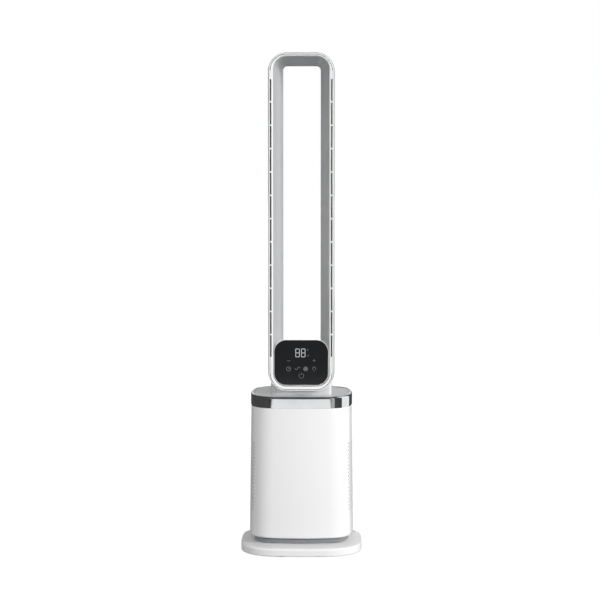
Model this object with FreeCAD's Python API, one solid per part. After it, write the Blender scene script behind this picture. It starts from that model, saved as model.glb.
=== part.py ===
import FreeCAD, Part
import math
import os

# Bladeless tower fan with an air purifier in its body.
# A square body on a swivel base draws air through side grilles and a round filter,
# a mixed-flow blower lifts it through the neck, and a tall hollow loop lets it out of
# two lines of slots beside its front rim. Millimetres, +Z up, front towards -Y,
# origin on the floor under the swivel axis.

V = FreeCAD.Vector
UP = V(0, 0, 1)
BACK = V(0, 1, 0)

# Clearances
SEAT_GAP = 0.1
JOINT_GAP = 0.3
RUNNING_GAP = 0.05
SEAM_GAP = 0.5

# Swivel base
FOOT_HEIGHT = 2.0
FOOT_RADIUS = 10.0
FOOT_REACH = 74.0
BASE_HALF = 123.0
BASE_CORNER = 78.0
BASE_SIDE_RADIUS = 700.0
BASE_RIM_HEIGHT = 15.5
BASE_CROWN = 6.5
BASE_FLAT_HALF = 92.0
BASE_FLAT_CORNER = 60.0
BASE_WALL = 3.0
BASE_EDGE_ROUND = 4.0
BASE_FOOT_ROUND = 2.0
BASE_RIB_THICK = 2.4
BASE_RIB_DEPTH = 4.0
UNDER_COVER_THICK = 2.5
BASE_BOSS_RADIUS = 6.0
BASE_SCREW_REACH = 80.0
SCREW_RADIUS = 1.75
SCREW_HEAD_RADIUS = 3.4
SCREW_HEAD_HEIGHT = 1.6
SCREW_LENGTH = 9.0

# Swivel spindle, gear drive and thrust ring
SPINDLE_RADIUS = 14.0
SPINDLE_BORE = 9.0
SPINDLE_FLANGE_RADIUS = 24.0
SPINDLE_FLANGE_THICK = 2.5
RETAINER_RADIUS = 22.0
RETAINER_THICK = 2.0
HUB_RADIUS = 19.0
HUB_HEIGHT = 7.0
GEAR_MODULE = 1.0
FIXED_GEAR_TEETH = 60
PINION_TEETH = 15
GEAR_THICK = 4.5
GEAR_BACKLASH = 0.3
PRESSURE_ANGLE = math.radians(20)
SWING_MOTOR_RADIUS = 14.0
SWING_MOTOR_HEIGHT = 19.0
SWING_MOTOR_OFFSET = 8.0
SWING_SHAFT_RADIUS = 2.5
SWING_EAR_WIDTH = 7.0
SWING_EAR_THICK = 1.0
THRUST_RING_RADIUS = 78.0
THRUST_RING_WIDTH = 8.0
THRUST_RING_THICK = 1.5

# Power inlet at the back of the base
INLET_WIDTH = 11.0
INLET_HEIGHT = 9.0
INLET_DEPTH = 14.0
INLET_BORE = 3.0
INLET_PIN = 1.0
INLET_LENGTH = 12.0
INLET_SOCKET_DEPTH = 10.0
INLET_RECESS = 0.8

# Turntable plinth
SWIVEL_GAP = 1.0
PLINTH_HEIGHT = 10.0
PLINTH_INSET = 9.0
PLINTH_PLATE = 3.0
PLINTH_WALL = 2.5

# Body shells
BODY_HEIGHT = 262.0
BODY_TOP_HALF = 102.2
BODY_BOTTOM_HALF = 105.6
BODY_CORNER = 52.0
BODY_SIDE_RADIUS = 330.0
BODY_WALL = 2.6
BODY_BOTTOM_ROUND = 4.0

# Side intake grilles
GRILLE_LOW = 46.0
GRILLE_HIGH = 196.0
GRILLE_START = 7.0
GRILLE_REACH = 80.0
GRILLE_CORNER = 14.0
GRILLE_FLANGE = 3.0
GRILLE_FLANGE_THICK = 1.2
GRILLE_MARGIN = 5.0
HOLE_RADIUS = 1.8
HOLE_OVERRUN = 2.0
HOLE_ROW_PITCH = 7.4
HOLE_COLUMN_PITCH = 8.2

# Chrome band and deck
BAND_HEIGHT = 23.0
BAND_PROUD = 0.8
BAND_WALL = 4.8
BAND_ROUND = 4.2
DECK_THICK = 2.5
DECK_RECESS = 1.0

# Chassis
CHASSIS_PLATE = 3.0
CHASSIS_GAP = 1.5
TRAY_HEIGHT = 38.0
BULKHEAD_HEIGHT = 192.0
POST_RADIUS = 5.0
POST_X = 82.5
POST_Y = 56.0
FLOOR_HOLE = 62.0
LOCATING_RIM_HEIGHT = 4.0
LOCATING_RIM_WALL = 2.0
MAGNET_RADIUS = 5.0
MAGNET_THICK = 3.0
STRIKE_THICK = 1.2
MAGNET_BOSS_RADIUS = 7.0
MAGNET_LOW = 26.0
MAGNET_HIGH = 226.0

# Filter cartridge
FILTER_RADIUS = 74.0
FILTER_CAP_THICK = 5.0
FILTER_CORE_RADIUS = 52.0
FILTER_CORE_WALL = 1.6
FILTER_SEAL_THICK = 3.0
CORE_ROWS = 5
CORE_COLUMNS = 12
CORE_SLOT = 16.0
PLEAT_COUNT = 60
PLEAT_WALL = 1.0
PLEAT_EDGE_GAP = 2.0
TAB_WIDTH = 24.0
TAB_LENGTH = 9.0
TAB_THICK = 2.0

# Blower
DUCT_RADIUS = 57.0
DUCT_WALL = 2.5
ISOLATOR_THICK = 3.0
DUCT_FLANGE = 8.0
DUCT_FLANGE_THICK = 3.0
BELLMOUTH_HEIGHT = 7.0
BELLMOUTH_EDGE = 1.0
STATOR_LOW = 45.0
STATOR_HEIGHT = 30.0
STATOR_RING_WALL = 2.0
STATOR_VANES = 11
STATOR_VANE_THICK = 1.8
STATOR_VANE_LEAN = 22.0
STATOR_HUB_RADIUS = 36.0
STATOR_HUB_WALL = 2.5
STATOR_HOLE_RADIUS = 6.0
FAIRING_HEIGHT = 16.0
MOTOR_RADIUS = 27.0
MOTOR_HEIGHT = 24.0
MOTOR_ROUND = 2.0
SHAFT_RADIUS = 2.5
SHAFT_OVERRUN = 1.0
BEARING_RADIUS = 8.0
BEARING_HEIGHT = 5.0
BEARING_INSET = 3.0
IMPELLER_HEIGHT = 34.0
IMPELLER_TIP_GAP = 2.5
IMPELLER_TOP_GAP = 1.3
IMPELLER_EYE_FLARE = 3.0
IMPELLER_EYE_SHARE = 0.35
IMPELLER_SHOULDER_INSET = 5.0
IMPELLER_SHOULDER_SHARE = 0.75
IMPELLER_EYE_RADIUS = 13.0
IMPELLER_HUB_RADIUS = 33.0
IMPELLER_HUB_WALL = 2.5
IMPELLER_BLADES = 9
BLADE_THICK = 1.8
BLADE_OVERRUN = 5.0
BLADE_INLET_SHARE = 0.2
BLADE_TIP_SHARE = 0.6
BLADE_ROOT_LEAN = 30.0
BLADE_TIP_LEAN = 55.0
NUT_RADIUS = 5.0
NUT_HEIGHT = 4.0

# Boards
BOARD_WIDTH = 110.0
BOARD_DEPTH = 74.0
BOARD_THICK = 1.6
BOARD_DROP = 12.0
STANDOFF_RADIUS = 3.5
STANDOFF_INSET = 6.0
CAPACITOR_RADIUS = 4.0
CAPACITOR_HEIGHT = 10.5
CAPACITOR_PITCH = 18.0
CAPACITOR_Y = 18.0
SOCKET_LENGTH = 9.0
SOCKET_DEPTH = 6.0
SOCKET_HEIGHT = 6.0
SOCKET_PITCH = 12.0
SOCKET_Y = -30.0
SINK_HALF = 15.0
SINK_DEPTH = 17.7
SINK_Y = -14.0
SINK_FLOOR = 2.0
SINK_HEIGHT = 9.6
SINK_FINS = 7
SINK_FIN = 1.2

# Neck
NECK_HALF = 61.3
NECK_CORNER = 14.0
NECK_FRONT = -52.0
NECK_BACK = 62.0
NECK_FRONT_LEAN = 2.0
NECK_BACK_LEAN = 3.0
NECK_RISE = 24.0
NECK_WALL = 2.5
SPIGOT_HALF = 41.0
SPIGOT_CORNER = 12.0
SPIGOT_HEIGHT = 12.0
NECK_GASKET_WIDTH = 4.0
NECK_GASKET_THICK = 3.0

# Loop
LOOP_CLEAR = 7.0
LOOP_HEIGHT = 680.0
LOOP_HALF = 67.4
LOOP_CORNER = 37.8
LOOP_FRONT = -70.0
LOOP_BACK = 66.0
LOOP_WALL = 2.4
LOOP_BACK_ROUND = 12.0
BULGE_Y = -18.0
LIP_INSET = 3.4
SHOULDER_INSET = 2.4
LIP_THICK = 1.6
SLOT_WIDTH = 3.0
RIM_WIDTH = 3.0
RIM_DEPTH = 10.0
RIM_CHAMFER = 1.6
FLARE = 18.0
LINER_WALL = 2.2
PLENUM_RISE = 54.0
OPENING_LIFT = 2.5
OPENING_LIFT_BACK = 5.8
SLOT_COUNT = 12
SLOT_PITCH = 46.4
SLOT_RIB = 3.0
SLOT_LOW = 70.0
GROOVE_WIDTH = 1.0
GROOVE_DEPTH = 1.6

# Control pod
GLASS_WIDTH = 108.0
GLASS_HEIGHT = 90.4
GLASS_CORNER = 24.0
GLASS_THICK = 2.0
BEZEL_WIDTH = 0.9
POD_RISE = 59.8
POD_DEPTH = 19.0
POD_TAPER = 5.0
POD_WALL = 2.0
POD_SET_BACK = 0.6
WEB_THICK = 2.4
DISPLAY_BOARD_INSET = 5.0
DISPLAY_GAP = 5.0
DIGIT_WIDTH = 30.0
DIGIT_HEIGHT = 21.0
DIGIT_RISE = 20.0
TOUCH_RADIUS = 3.5
TOUCH_SPACING = 17.0
TOUCH_ROW_DROP = 11.0
TOUCH_SIDE_RISE = 4.0
TOUCH_POWER_DROP = 26.0

# Heights of the stack, from the floor up
base_bottom = FOOT_HEIGHT
base_rim_top = base_bottom + BASE_RIM_HEIGHT
base_top = base_rim_top + BASE_CROWN
plinth_bottom = base_top + SWIVEL_GAP
body_bottom = plinth_bottom + PLINTH_HEIGHT
body_top = body_bottom + BODY_HEIGHT
band_top = body_top + BAND_HEIGHT
deck_top = band_top - DECK_RECESS
deck_bottom = deck_top - DECK_THICK
loop_bottom = deck_top + LOOP_CLEAR
loop_top = loop_bottom + LOOP_HEIGHT
chassis_bottom = body_bottom + SEAT_GAP
tray_bottom = chassis_bottom + TRAY_HEIGHT
tray_top = tray_bottom + CHASSIS_PLATE
bulkhead_bottom = chassis_bottom + BULKHEAD_HEIGHT
bulkhead_top = bulkhead_bottom + CHASSIS_PLATE
plinth_plate_bottom = body_bottom - PLINTH_PLATE


# Outlines and lofts


def polar(radius, angle, z=0.0):
    """Point at a radius and an angle in radians about the swivel axis."""
    return V(radius * math.cos(angle), radius * math.sin(angle), z)


def arc(start, middle, end):
    return Part.Arc(start, middle, end).toShape()


def corner_centre(half, corner, side_radius):
    """Distance of a crowned square's corner centre from each axis."""
    lean = side_radius - half
    return (-lean + math.sqrt(2 * (side_radius - corner) ** 2 - lean**2)) / 2


def crowned_square(half, corner, side_radius, z):
    """Square outline whose sides bow out as arcs and run smoothly into round corners."""
    lean = side_radius - half
    c = corner_centre(half, corner, side_radius)
    reach = side_radius / (side_radius - corner)
    front_end = V(c * reach, lean - (c + lean) * reach, z)
    side_start = V((c + lean) * reach - lean, -c * reach, z)
    corner_mid = V(c + corner * math.sqrt(0.5), -c - corner * math.sqrt(0.5), z)
    front_start = V(-front_end.x, front_end.y, z)
    quarter = [
        arc(front_start, V(0, -half, z), front_end),
        arc(front_end, corner_mid, side_start),
    ]
    edges = []
    for turn in range(4):
        for edge in quarter:
            copy = edge.copy()
            copy.rotate(V(0, 0, 0), UP, 90 * turn)
            edges.append(copy)
    return Part.Wire(edges)


def rounded_wire(half, low, high, corner, place):
    """Closed rounded rectangle; place puts its (across, along) points in space."""
    near = corner * (1 - math.sqrt(0.5))
    arcs = []
    for side, level, inward in ((1, low, 1), (1, high, -1), (-1, high, -1), (-1, low, 1)):
        across = place(side * (half - corner), level)
        along = place(side * half, level + inward * corner)
        middle = place(side * (half - near), level + inward * near)
        ends = (across, along) if side == inward else (along, across)
        arcs.append((ends[0], middle, ends[1]))
    edges = []
    for i, (start, middle, end) in enumerate(arcs):
        following = arcs[(i + 1) % 4][0]
        edges.append(arc(start, middle, end))
        edges.append(Part.LineSegment(end, following).toShape())
    return Part.Wire(edges)


def rounded_rectangle(half_width, z_low, z_high, corner, y):
    """Upright rounded rectangle in the plane at depth y."""
    return rounded_wire(half_width, z_low, z_high, corner, lambda a, b: V(a, y, b))


def plan_rectangle(half_width, y_front, y_back, corner, z):
    """Rounded rectangle lying level at height z."""
    return rounded_wire(half_width, y_front, y_back, corner, lambda a, b: V(a, b, z))


def loft(wires, ruled=True):
    return Part.makeLoft(wires, True, ruled)


def tube(outer_radius, inner_radius, z_low, height):
    outer = Part.makeCylinder(outer_radius, height, V(0, 0, z_low))
    return outer.cut(Part.makeCylinder(inner_radius, height, V(0, 0, z_low)))


def box(x_low, x_high, y_low, y_high, z_low, z_high):
    return Part.makeBox(
        x_high - x_low, y_high - y_low, z_high - z_low, V(x_low, y_low, z_low)
    )


def revolved(profile):
    """Solid of revolution about the swivel axis from (radius, height) corners."""
    points = [V(r, 0, z) for r, z in profile]
    face = Part.Face(Part.makePolygon(points + points[:1]))
    return face.revolve(V(0, 0, 0), UP, 360)


def four_corners(x, y):
    return [(sx * x, sy * y) for sx in (-1, 1) for sy in (-1, 1)]


def edges_at(shape, axis, level, tolerance=1e-3):
    """Edges that lie wholly in the plane where the axis has that level."""
    found = []
    for edge in shape.Edges:
        values = [getattr(p, axis) for p in edge.discretize(5)]
        if all(abs(v - level) < tolerance for v in values):
            found.append(edge)
    return found


def pan_screw(tip, head_end, radius=SCREW_RADIUS):
    """Screw whose shank runs from its tip to the underside of its head."""
    axis = head_end - tip
    length = axis.Length
    shank = Part.makeCylinder(radius, length, tip, axis)
    head = Part.makeCylinder(SCREW_HEAD_RADIUS, SCREW_HEAD_HEIGHT, head_end, axis)
    return shank.fuse(head)


# Swivel base


def base_outline(half, z):
    return crowned_square(half, BASE_CORNER - (BASE_HALF - half), BASE_SIDE_RADIUS, z)


def base_block(inset, z_low):
    """Base form taken in by inset all round, down to z_low."""
    flat = crowned_square(
        BASE_FLAT_HALF, BASE_FLAT_CORNER, BASE_SIDE_RADIUS, base_top - inset
    )
    rim_top = base_rim_top - inset
    wall = loft([base_outline(BASE_HALF - inset, z) for z in (z_low, rim_top)])
    slope = loft([base_outline(BASE_HALF - inset, rim_top), flat])
    return wall.fuse(slope).removeSplitter()


def base_screw_places():
    side = BASE_SCREW_REACH * math.sqrt(0.5)
    return four_corners(side, side)


def inlet_centre_z():
    return base_bottom + UNDER_COVER_THICK + SEAT_GAP + INLET_HEIGHT / 2


def make_base_plate():
    block = base_block(0, base_bottom)
    block = block.makeFillet(BASE_EDGE_ROUND, edges_at(block, "z", base_rim_top))
    block = block.makeFillet(BASE_FOOT_ROUND, edges_at(block, "z", base_bottom))
    hollow = base_block(BASE_WALL, base_bottom)
    plate = block.cut(hollow)
    floor = base_bottom + UNDER_COVER_THICK + SEAT_GAP
    for x, y in base_screw_places():
        boss = Part.makeCylinder(BASE_BOSS_RADIUS, base_top - floor, V(x, y, floor))
        plate = plate.fuse(boss.common(block))
    core = Part.makeCylinder(
        SPINDLE_FLANGE_RADIUS + BASE_WALL, base_top - floor, V(0, 0, floor)
    )
    plate = plate.fuse(core)
    rib_reach, half_rib = BASE_HALF - BASE_WALL, BASE_RIB_THICK / 2
    rib_low = base_rim_top - BASE_RIB_DEPTH
    for turn in range(4):
        rib = box(SPINDLE_FLANGE_RADIUS, rib_reach, -half_rib, half_rib, rib_low, base_rim_top)
        rib.rotate(V(0, 0, 0), UP, 90 * turn)
        plate = plate.fuse(rib)
    plate = plate.cut(Part.makeCylinder(SPINDLE_BORE, base_top))
    seat_low = V(0, 0, base_top - SPINDLE_FLANGE_THICK)
    plate = plate.cut(
        Part.makeCylinder(SPINDLE_FLANGE_RADIUS + SEAT_GAP, SPINDLE_FLANGE_THICK, seat_low)
    )
    for x, y in base_screw_places():
        plate = plate.cut(
            Part.makeCylinder(SCREW_RADIUS + RUNNING_GAP, SCREW_LENGTH, V(x, y, base_bottom))
        )
    z = inlet_centre_z()
    half_w, half_h = INLET_WIDTH / 2 + SEAT_GAP, INLET_HEIGHT / 2
    window = box(-half_w, half_w, BASE_HALF - INLET_DEPTH, BASE_HALF + 1, z - half_h, z + half_h)
    return plate.cut(window).removeSplitter()


def make_base_under_cover():
    half = BASE_HALF - BASE_WALL - SEAT_GAP
    top = base_bottom + UNDER_COVER_THICK
    cover = loft([base_outline(half, z) for z in (base_bottom, top)])
    cover = cover.cut(Part.makeCylinder(SPINDLE_BORE, top, V(0, 0, 0)))
    for x, y in base_screw_places():
        head = Part.makeCylinder(
            SCREW_HEAD_RADIUS + JOINT_GAP, SCREW_HEAD_HEIGHT, V(x, y, base_bottom)
        )
        hole = Part.makeCylinder(SCREW_RADIUS + SEAT_GAP, top, V(x, y, 0))
        cover = cover.cut(head).cut(hole)
    return cover


def make_rubber_feet():
    feet = []
    for x, y in four_corners(FOOT_REACH, FOOT_REACH):
        foot = Part.makeCylinder(FOOT_RADIUS, FOOT_HEIGHT, V(x, y, 0))
        feet.append(foot.makeFillet(FOOT_HEIGHT * 0.3, edges_at(foot, "z", 0)))
    return Part.makeCompound(feet)


def make_base_screws():
    head_z = base_bottom + SCREW_HEAD_HEIGHT
    screws = [
        pan_screw(V(x, y, base_bottom + SCREW_LENGTH - SEAT_GAP), V(x, y, head_z))
        for x, y in base_screw_places()
    ]
    return Part.makeCompound(screws)


# Swivel drive


def spindle_top():
    return body_bottom + HUB_HEIGHT + JOINT_GAP


def make_swivel_spindle():
    low = base_top - SPINDLE_FLANGE_THICK + SEAT_GAP
    post = Part.makeCylinder(SPINDLE_RADIUS, spindle_top() - low, V(0, 0, low))
    flange = Part.makeCylinder(SPINDLE_FLANGE_RADIUS, base_top - low, V(0, 0, low))
    bore = Part.makeCylinder(SPINDLE_BORE, spindle_top(), V(0, 0, 0))
    return post.fuse(flange).cut(bore)


def make_spindle_retainer():
    ring = tube(RETAINER_RADIUS, SPINDLE_BORE, spindle_top(), RETAINER_THICK)
    return ring.makeFillet(RETAINER_THICK * 0.3, edges_at(ring, "z", spindle_top() + RETAINER_THICK))


def involute_point(base_radius, radius, sign, centre_angle, flank_angle):
    """Point of a tooth flank at a radius; flank_angle is half the tooth at the base circle."""
    roll = math.sqrt(max(radius**2 - base_radius**2, 0)) / base_radius
    spread = flank_angle - (roll - math.atan(roll))
    return polar(radius, centre_angle + sign * spread)


def gear_wire(teeth, module, first_angle, backlash):
    """Closed outline of an involute spur gear with a tooth centred on first_angle."""
    pitch_radius = teeth * module / 2
    base_radius = pitch_radius * math.cos(PRESSURE_ANGLE)
    tip_radius = pitch_radius + 0.95 * module
    root_radius = pitch_radius - 1.25 * module
    half_pitch = (math.pi * module / 2 - backlash) / (2 * pitch_radius)
    flank_angle = half_pitch + math.tan(PRESSURE_ANGLE) - PRESSURE_ANGLE
    start_radius = max(base_radius, root_radius)
    radii = [start_radius + (tip_radius - start_radius) * i / 4 for i in range(5)]
    step = 2 * math.pi / teeth
    edges = []
    for tooth in range(teeth):
        centre = first_angle + tooth * step
        rising = [
            involute_point(base_radius, r, -1, centre, flank_angle) for r in radii
        ]
        falling = [
            involute_point(base_radius, r, 1, centre, flank_angle) for r in reversed(radii)
        ]
        foot_in = polar(root_radius, centre - flank_angle)
        foot_out = polar(root_radius, centre + flank_angle)
        next_foot = polar(root_radius, centre + step - flank_angle)
        if (foot_in - rising[0]).Length > 1e-6:
            edges.append(Part.LineSegment(foot_in, rising[0]).toShape())
        flank = Part.BSplineCurve()
        flank.interpolate(rising)
        edges.append(flank.toShape())
        edges.append(arc(rising[-1], polar(tip_radius, centre), falling[0]))
        flank = Part.BSplineCurve()
        flank.interpolate(falling)
        edges.append(flank.toShape())
        if (foot_out - falling[-1]).Length > 1e-6:
            edges.append(Part.LineSegment(falling[-1], foot_out).toShape())
        edges.append(arc(foot_out, polar(root_radius, centre + step / 2), next_foot))
    return Part.Wire(edges)


def gear_low():
    return base_top + SEAT_GAP


def gear_distance():
    return GEAR_MODULE * (FIXED_GEAR_TEETH + PINION_TEETH) / 2


def make_fixed_gear():
    wire = gear_wire(FIXED_GEAR_TEETH, GEAR_MODULE, math.pi / 2, GEAR_BACKLASH / 2)
    gear = Part.Face(wire).extrude(V(0, 0, GEAR_THICK))
    gear.translate(V(0, 0, gear_low()))
    return gear.cut(
        Part.makeCylinder(SPINDLE_RADIUS + SEAT_GAP, base_top + GEAR_THICK + 1)
    )


def make_swing_pinion():
    mesh_angle = -math.pi / 2 + math.pi / PINION_TEETH
    wire = gear_wire(PINION_TEETH, GEAR_MODULE, mesh_angle, GEAR_BACKLASH / 2)
    gear = Part.Face(wire).extrude(V(0, 0, GEAR_THICK - JOINT_GAP))
    gear = gear.cut(Part.makeCylinder(SWING_SHAFT_RADIUS, GEAR_THICK))
    gear.translate(V(0, gear_distance(), gear_low() + JOINT_GAP))
    shaft_low = gear_low() + JOINT_GAP
    shaft_high = body_bottom + SWING_MOTOR_HEIGHT / 2
    shaft = Part.makeCylinder(
        SWING_SHAFT_RADIUS, shaft_high - shaft_low, V(0, gear_distance(), shaft_low)
    )
    return gear.fuse(shaft)


def make_swing_motor():
    y = gear_distance()
    low = body_bottom + SEAT_GAP
    can = Part.makeCylinder(
        SWING_MOTOR_RADIUS, SWING_MOTOR_HEIGHT, V(0, y + SWING_MOTOR_OFFSET, low)
    )
    can = can.makeFillet(SWING_EAR_THICK, edges_at(can, "z", low + SWING_MOTOR_HEIGHT))
    reach = SWING_MOTOR_RADIUS + SWING_EAR_WIDTH
    ear_low = y + SWING_MOTOR_OFFSET - SWING_EAR_WIDTH / 2
    ears = box(-reach, reach, ear_low, ear_low + SWING_EAR_WIDTH, low, low + SWING_EAR_THICK)
    body = can.fuse(ears)
    bore_top = body_bottom + SWING_MOTOR_HEIGHT / 2 + JOINT_GAP
    bore = Part.makeCylinder(
        SWING_SHAFT_RADIUS + RUNNING_GAP, bore_top - low, V(0, y, low)
    )
    return body.cut(bore)


def make_thrust_ring():
    outer = THRUST_RING_RADIUS + THRUST_RING_WIDTH / 2
    inner = THRUST_RING_RADIUS - THRUST_RING_WIDTH / 2
    return tube(outer, inner, base_top, THRUST_RING_THICK)


def make_power_inlet():
    z = inlet_centre_z()
    half_w, half_h = INLET_WIDTH / 2, INLET_HEIGHT / 2
    back = BASE_HALF - INLET_RECESS
    body = box(-half_w, half_w, back - INLET_LENGTH, back, z - half_h, z + half_h)
    socket = Part.makeCylinder(INLET_BORE, INLET_SOCKET_DEPTH, V(0, back, z), -BACK)
    pin = Part.makeCylinder(INLET_PIN, INLET_SOCKET_DEPTH, V(0, back - INLET_PIN, z), -BACK)
    return body.cut(socket).fuse(pin)


# Turntable plinth


def plinth_outline(inset, z):
    half = BODY_BOTTOM_HALF - PLINTH_INSET - inset
    return crowned_square(half, BODY_CORNER - PLINTH_INSET - inset, BODY_SIDE_RADIUS, z)


def make_plinth():
    block = loft([plinth_outline(0, z) for z in (plinth_bottom, body_bottom)])
    hollow = loft([plinth_outline(PLINTH_WALL, z) for z in (plinth_bottom, plinth_plate_bottom)])
    plinth = block.cut(hollow)
    rib_low = base_top + THRUST_RING_THICK + JOINT_GAP
    rib = tube(
        THRUST_RING_RADIUS + THRUST_RING_WIDTH / 4,
        THRUST_RING_RADIUS - THRUST_RING_WIDTH / 4,
        rib_low,
        body_bottom - rib_low,
    )
    hub = Part.makeCylinder(HUB_RADIUS, HUB_HEIGHT, V(0, 0, body_bottom))
    plinth = plinth.fuse(rib).fuse(hub)
    bore = Part.makeCylinder(SPINDLE_RADIUS + RUNNING_GAP, spindle_top(), V(0, 0, 0))
    shaft_hole = Part.makeCylinder(
        SWING_SHAFT_RADIUS + JOINT_GAP, body_bottom + 1, V(0, gear_distance(), 0)
    )
    plinth = plinth.cut(bore).cut(shaft_hole)
    for x, y in four_corners(POST_X, POST_Y):
        plinth = plinth.cut(Part.makeCylinder(SCREW_RADIUS + SEAT_GAP, body_bottom, V(x, y, 0)))
    return plinth.removeSplitter()


def make_plinth_screws():
    head_z = plinth_plate_bottom - SEAT_GAP
    screws = [
        pan_screw(V(x, y, head_z + SCREW_LENGTH), V(x, y, head_z))
        for x, y in four_corners(POST_X, POST_Y)
    ]
    return Part.makeCompound(screws)


# Body shells and grilles


def body_half(z):
    """Half width of the body at a height: it widens slightly towards the floor."""
    share = (z - body_bottom) / BODY_HEIGHT
    return BODY_BOTTOM_HALF + (BODY_TOP_HALF - BODY_BOTTOM_HALF) * share


def body_outline(inset, z):
    return crowned_square(body_half(z) - inset, BODY_CORNER - inset, BODY_SIDE_RADIUS - inset, z)


def body_block(inset, z_low, z_high):
    return loft([body_outline(inset, z) for z in (z_low, z_high)])


def body_shell():
    """Whole body skin before it is parted into front and rear."""
    block = body_block(0, body_bottom, body_top)
    block = block.makeFillet(BODY_BOTTOM_ROUND, edges_at(block, "z", body_bottom))
    return block.cut(body_block(BODY_WALL, body_bottom - 1, body_top + 1))


def grille_window(grow, reach_in):
    """Upright rounded window through the right-hand wall, ahead of the seam."""
    low, high = body_bottom + GRILLE_LOW - grow, body_bottom + GRILLE_HIGH + grow
    y_seam, y_front = -GRILLE_START + grow, -GRILLE_REACH - grow
    half_width = (y_seam - y_front) / 2
    outline = rounded_rectangle(half_width, low, high, GRILLE_CORNER + grow, 0)
    prism = Part.Face(outline).extrude(V(0, 2 * BODY_BOTTOM_HALF, 0))
    prism.rotate(V(0, 0, 0), UP, -90)
    prism.translate(V(reach_in, (y_seam + y_front) / 2, 0))
    return prism


def mirrored(shape, across_x, across_y):
    if across_x:
        shape = shape.mirror(V(0, 0, 0), V(1, 0, 0))
    if across_y:
        shape = shape.mirror(V(0, 0, 0), V(0, 1, 0))
    return shape


def wall_point(distance, z):
    """Point and outward direction on the right-hand wall, measured forward along the
    outline from the middle of the side."""
    half = body_half(z)
    lean = BODY_SIDE_RADIUS - half
    c = corner_centre(half, BODY_CORNER, BODY_SIDE_RADIUS)
    side_angle = math.atan2(c, c + lean)
    side_length = BODY_SIDE_RADIUS * side_angle
    if distance <= side_length:
        angle = distance / BODY_SIDE_RADIUS
        centre, radius = V(-lean, 0, z), BODY_SIDE_RADIUS
    else:
        angle = side_angle + (distance - side_length) / BODY_CORNER
        centre, radius = V(c, -c, z), BODY_CORNER
    direction = V(math.cos(angle), -math.sin(angle), 0)
    return centre + direction * radius, direction


def six_sided_prism(radius, length, start, direction):
    """Six-sided prism with upright corners, along a level direction."""
    across = UP.cross(direction)
    corners = []
    for i in range(6):
        angle = math.pi / 3 * i
        corners.append(start + UP * radius * math.cos(angle) + across * radius * math.sin(angle))
    return Part.Face(Part.makePolygon(corners + corners[:1])).extrude(direction * length)


def grille_holes():
    """Small holes in staggered columns, each square to the wall where it stands."""
    z_low = body_bottom + GRILLE_LOW + GRILLE_MARGIN
    z_high = body_bottom + GRILLE_HIGH - GRILLE_MARGIN
    front_limit = GRILLE_REACH - GRILLE_MARGIN
    length = BODY_WALL + GRILLE_FLANGE_THICK + 2 * HOLE_OVERRUN
    holes = []
    column = 0
    while True:
        distance = GRILLE_START + GRILLE_MARGIN + column * HOLE_COLUMN_PITCH
        if -wall_point(distance, z_low)[0].y > front_limit:
            return holes
        z = z_low + HOLE_ROW_PITCH / 2 * (column % 2)
        while z <= z_high:
            point, direction = wall_point(distance, z)
            start = point - direction * (length - HOLE_OVERRUN)
            holes.append(six_sided_prism(HOLE_RADIUS, length, start, direction))
            z += HOLE_ROW_PITCH
        column += 1


def make_grille():
    """Perforated panel for the front right window; a flange behind the wall holds it."""
    z_low, z_high = body_bottom + BODY_BOTTOM_ROUND, body_top - BODY_BOTTOM_ROUND
    skin = body_block(0, z_low, z_high).cut(body_block(BODY_WALL + SEAT_GAP, z_low, z_high))
    panel = skin.common(grille_window(-SEAT_GAP, 0))
    inner = BODY_WALL + SEAT_GAP + GRILLE_FLANGE_THICK
    backing = body_block(BODY_WALL + SEAT_GAP, z_low, z_high).cut(body_block(inner, z_low, z_high))
    flange = backing.common(grille_window(GRILLE_FLANGE, 0))
    return panel.fuse(flange).removeSplitter().cut(Part.makeCompound(grille_holes()))


def with_windows(shell):
    """Shell with an intake window on each side, front and rear."""
    for across_x in (False, True):
        for across_y in (False, True):
            shell = shell.cut(mirrored(grille_window(0, 0), across_x, across_y))
    return shell


def front_half():
    reach = 2 * BODY_BOTTOM_HALF
    return box(-reach, reach, -reach, -SEAM_GAP / 2, 0, loop_top)


def rear_half():
    reach = 2 * BODY_BOTTOM_HALF
    return box(-reach, reach, SEAM_GAP / 2, reach, 0, loop_top)


def magnet_places():
    return [
        (sx * POST_X, body_bottom + rise)
        for sx in (-1, 1)
        for rise in (MAGNET_LOW, MAGNET_HIGH)
    ]


def strike_face():
    return POST_Y + POST_RADIUS + STRIKE_THICK


def make_rear_cover(shell):
    cover = shell.common(rear_half())
    magnet_end = strike_face() + JOINT_GAP + MAGNET_THICK
    for x, z in magnet_places():
        boss = Part.makeCylinder(
            MAGNET_BOSS_RADIUS, 2 * BODY_BOTTOM_HALF, V(x, strike_face() + JOINT_GAP, z), BACK
        )
        boss = boss.common(body_block(BODY_WALL / 2, body_bottom, body_top))
        pocket = Part.makeCylinder(
            MAGNET_RADIUS + SEAT_GAP, magnet_end - strike_face(), V(x, strike_face(), z), BACK
        )
        cover = cover.fuse(boss).cut(pocket)
    return cover.removeSplitter()


def make_cover_magnets():
    magnets = [
        Part.makeCylinder(
            MAGNET_RADIUS, MAGNET_THICK - SEAT_GAP, V(x, strike_face() + JOINT_GAP, z), BACK
        )
        for x, z in magnet_places()
    ]
    return Part.makeCompound(magnets)


def make_strike_plates():
    plates = [
        Part.makeCylinder(
            MAGNET_RADIUS, STRIKE_THICK, V(x, strike_face() - STRIKE_THICK, z), BACK
        )
        for x, z in magnet_places()
    ]
    return Part.makeCompound(plates)


# Chassis


def chassis_plate(z_low):
    inset = BODY_WALL + CHASSIS_GAP + GRILLE_FLANGE_THICK
    return loft([body_outline(inset, z) for z in (z_low, z_low + CHASSIS_PLATE)])


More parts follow.
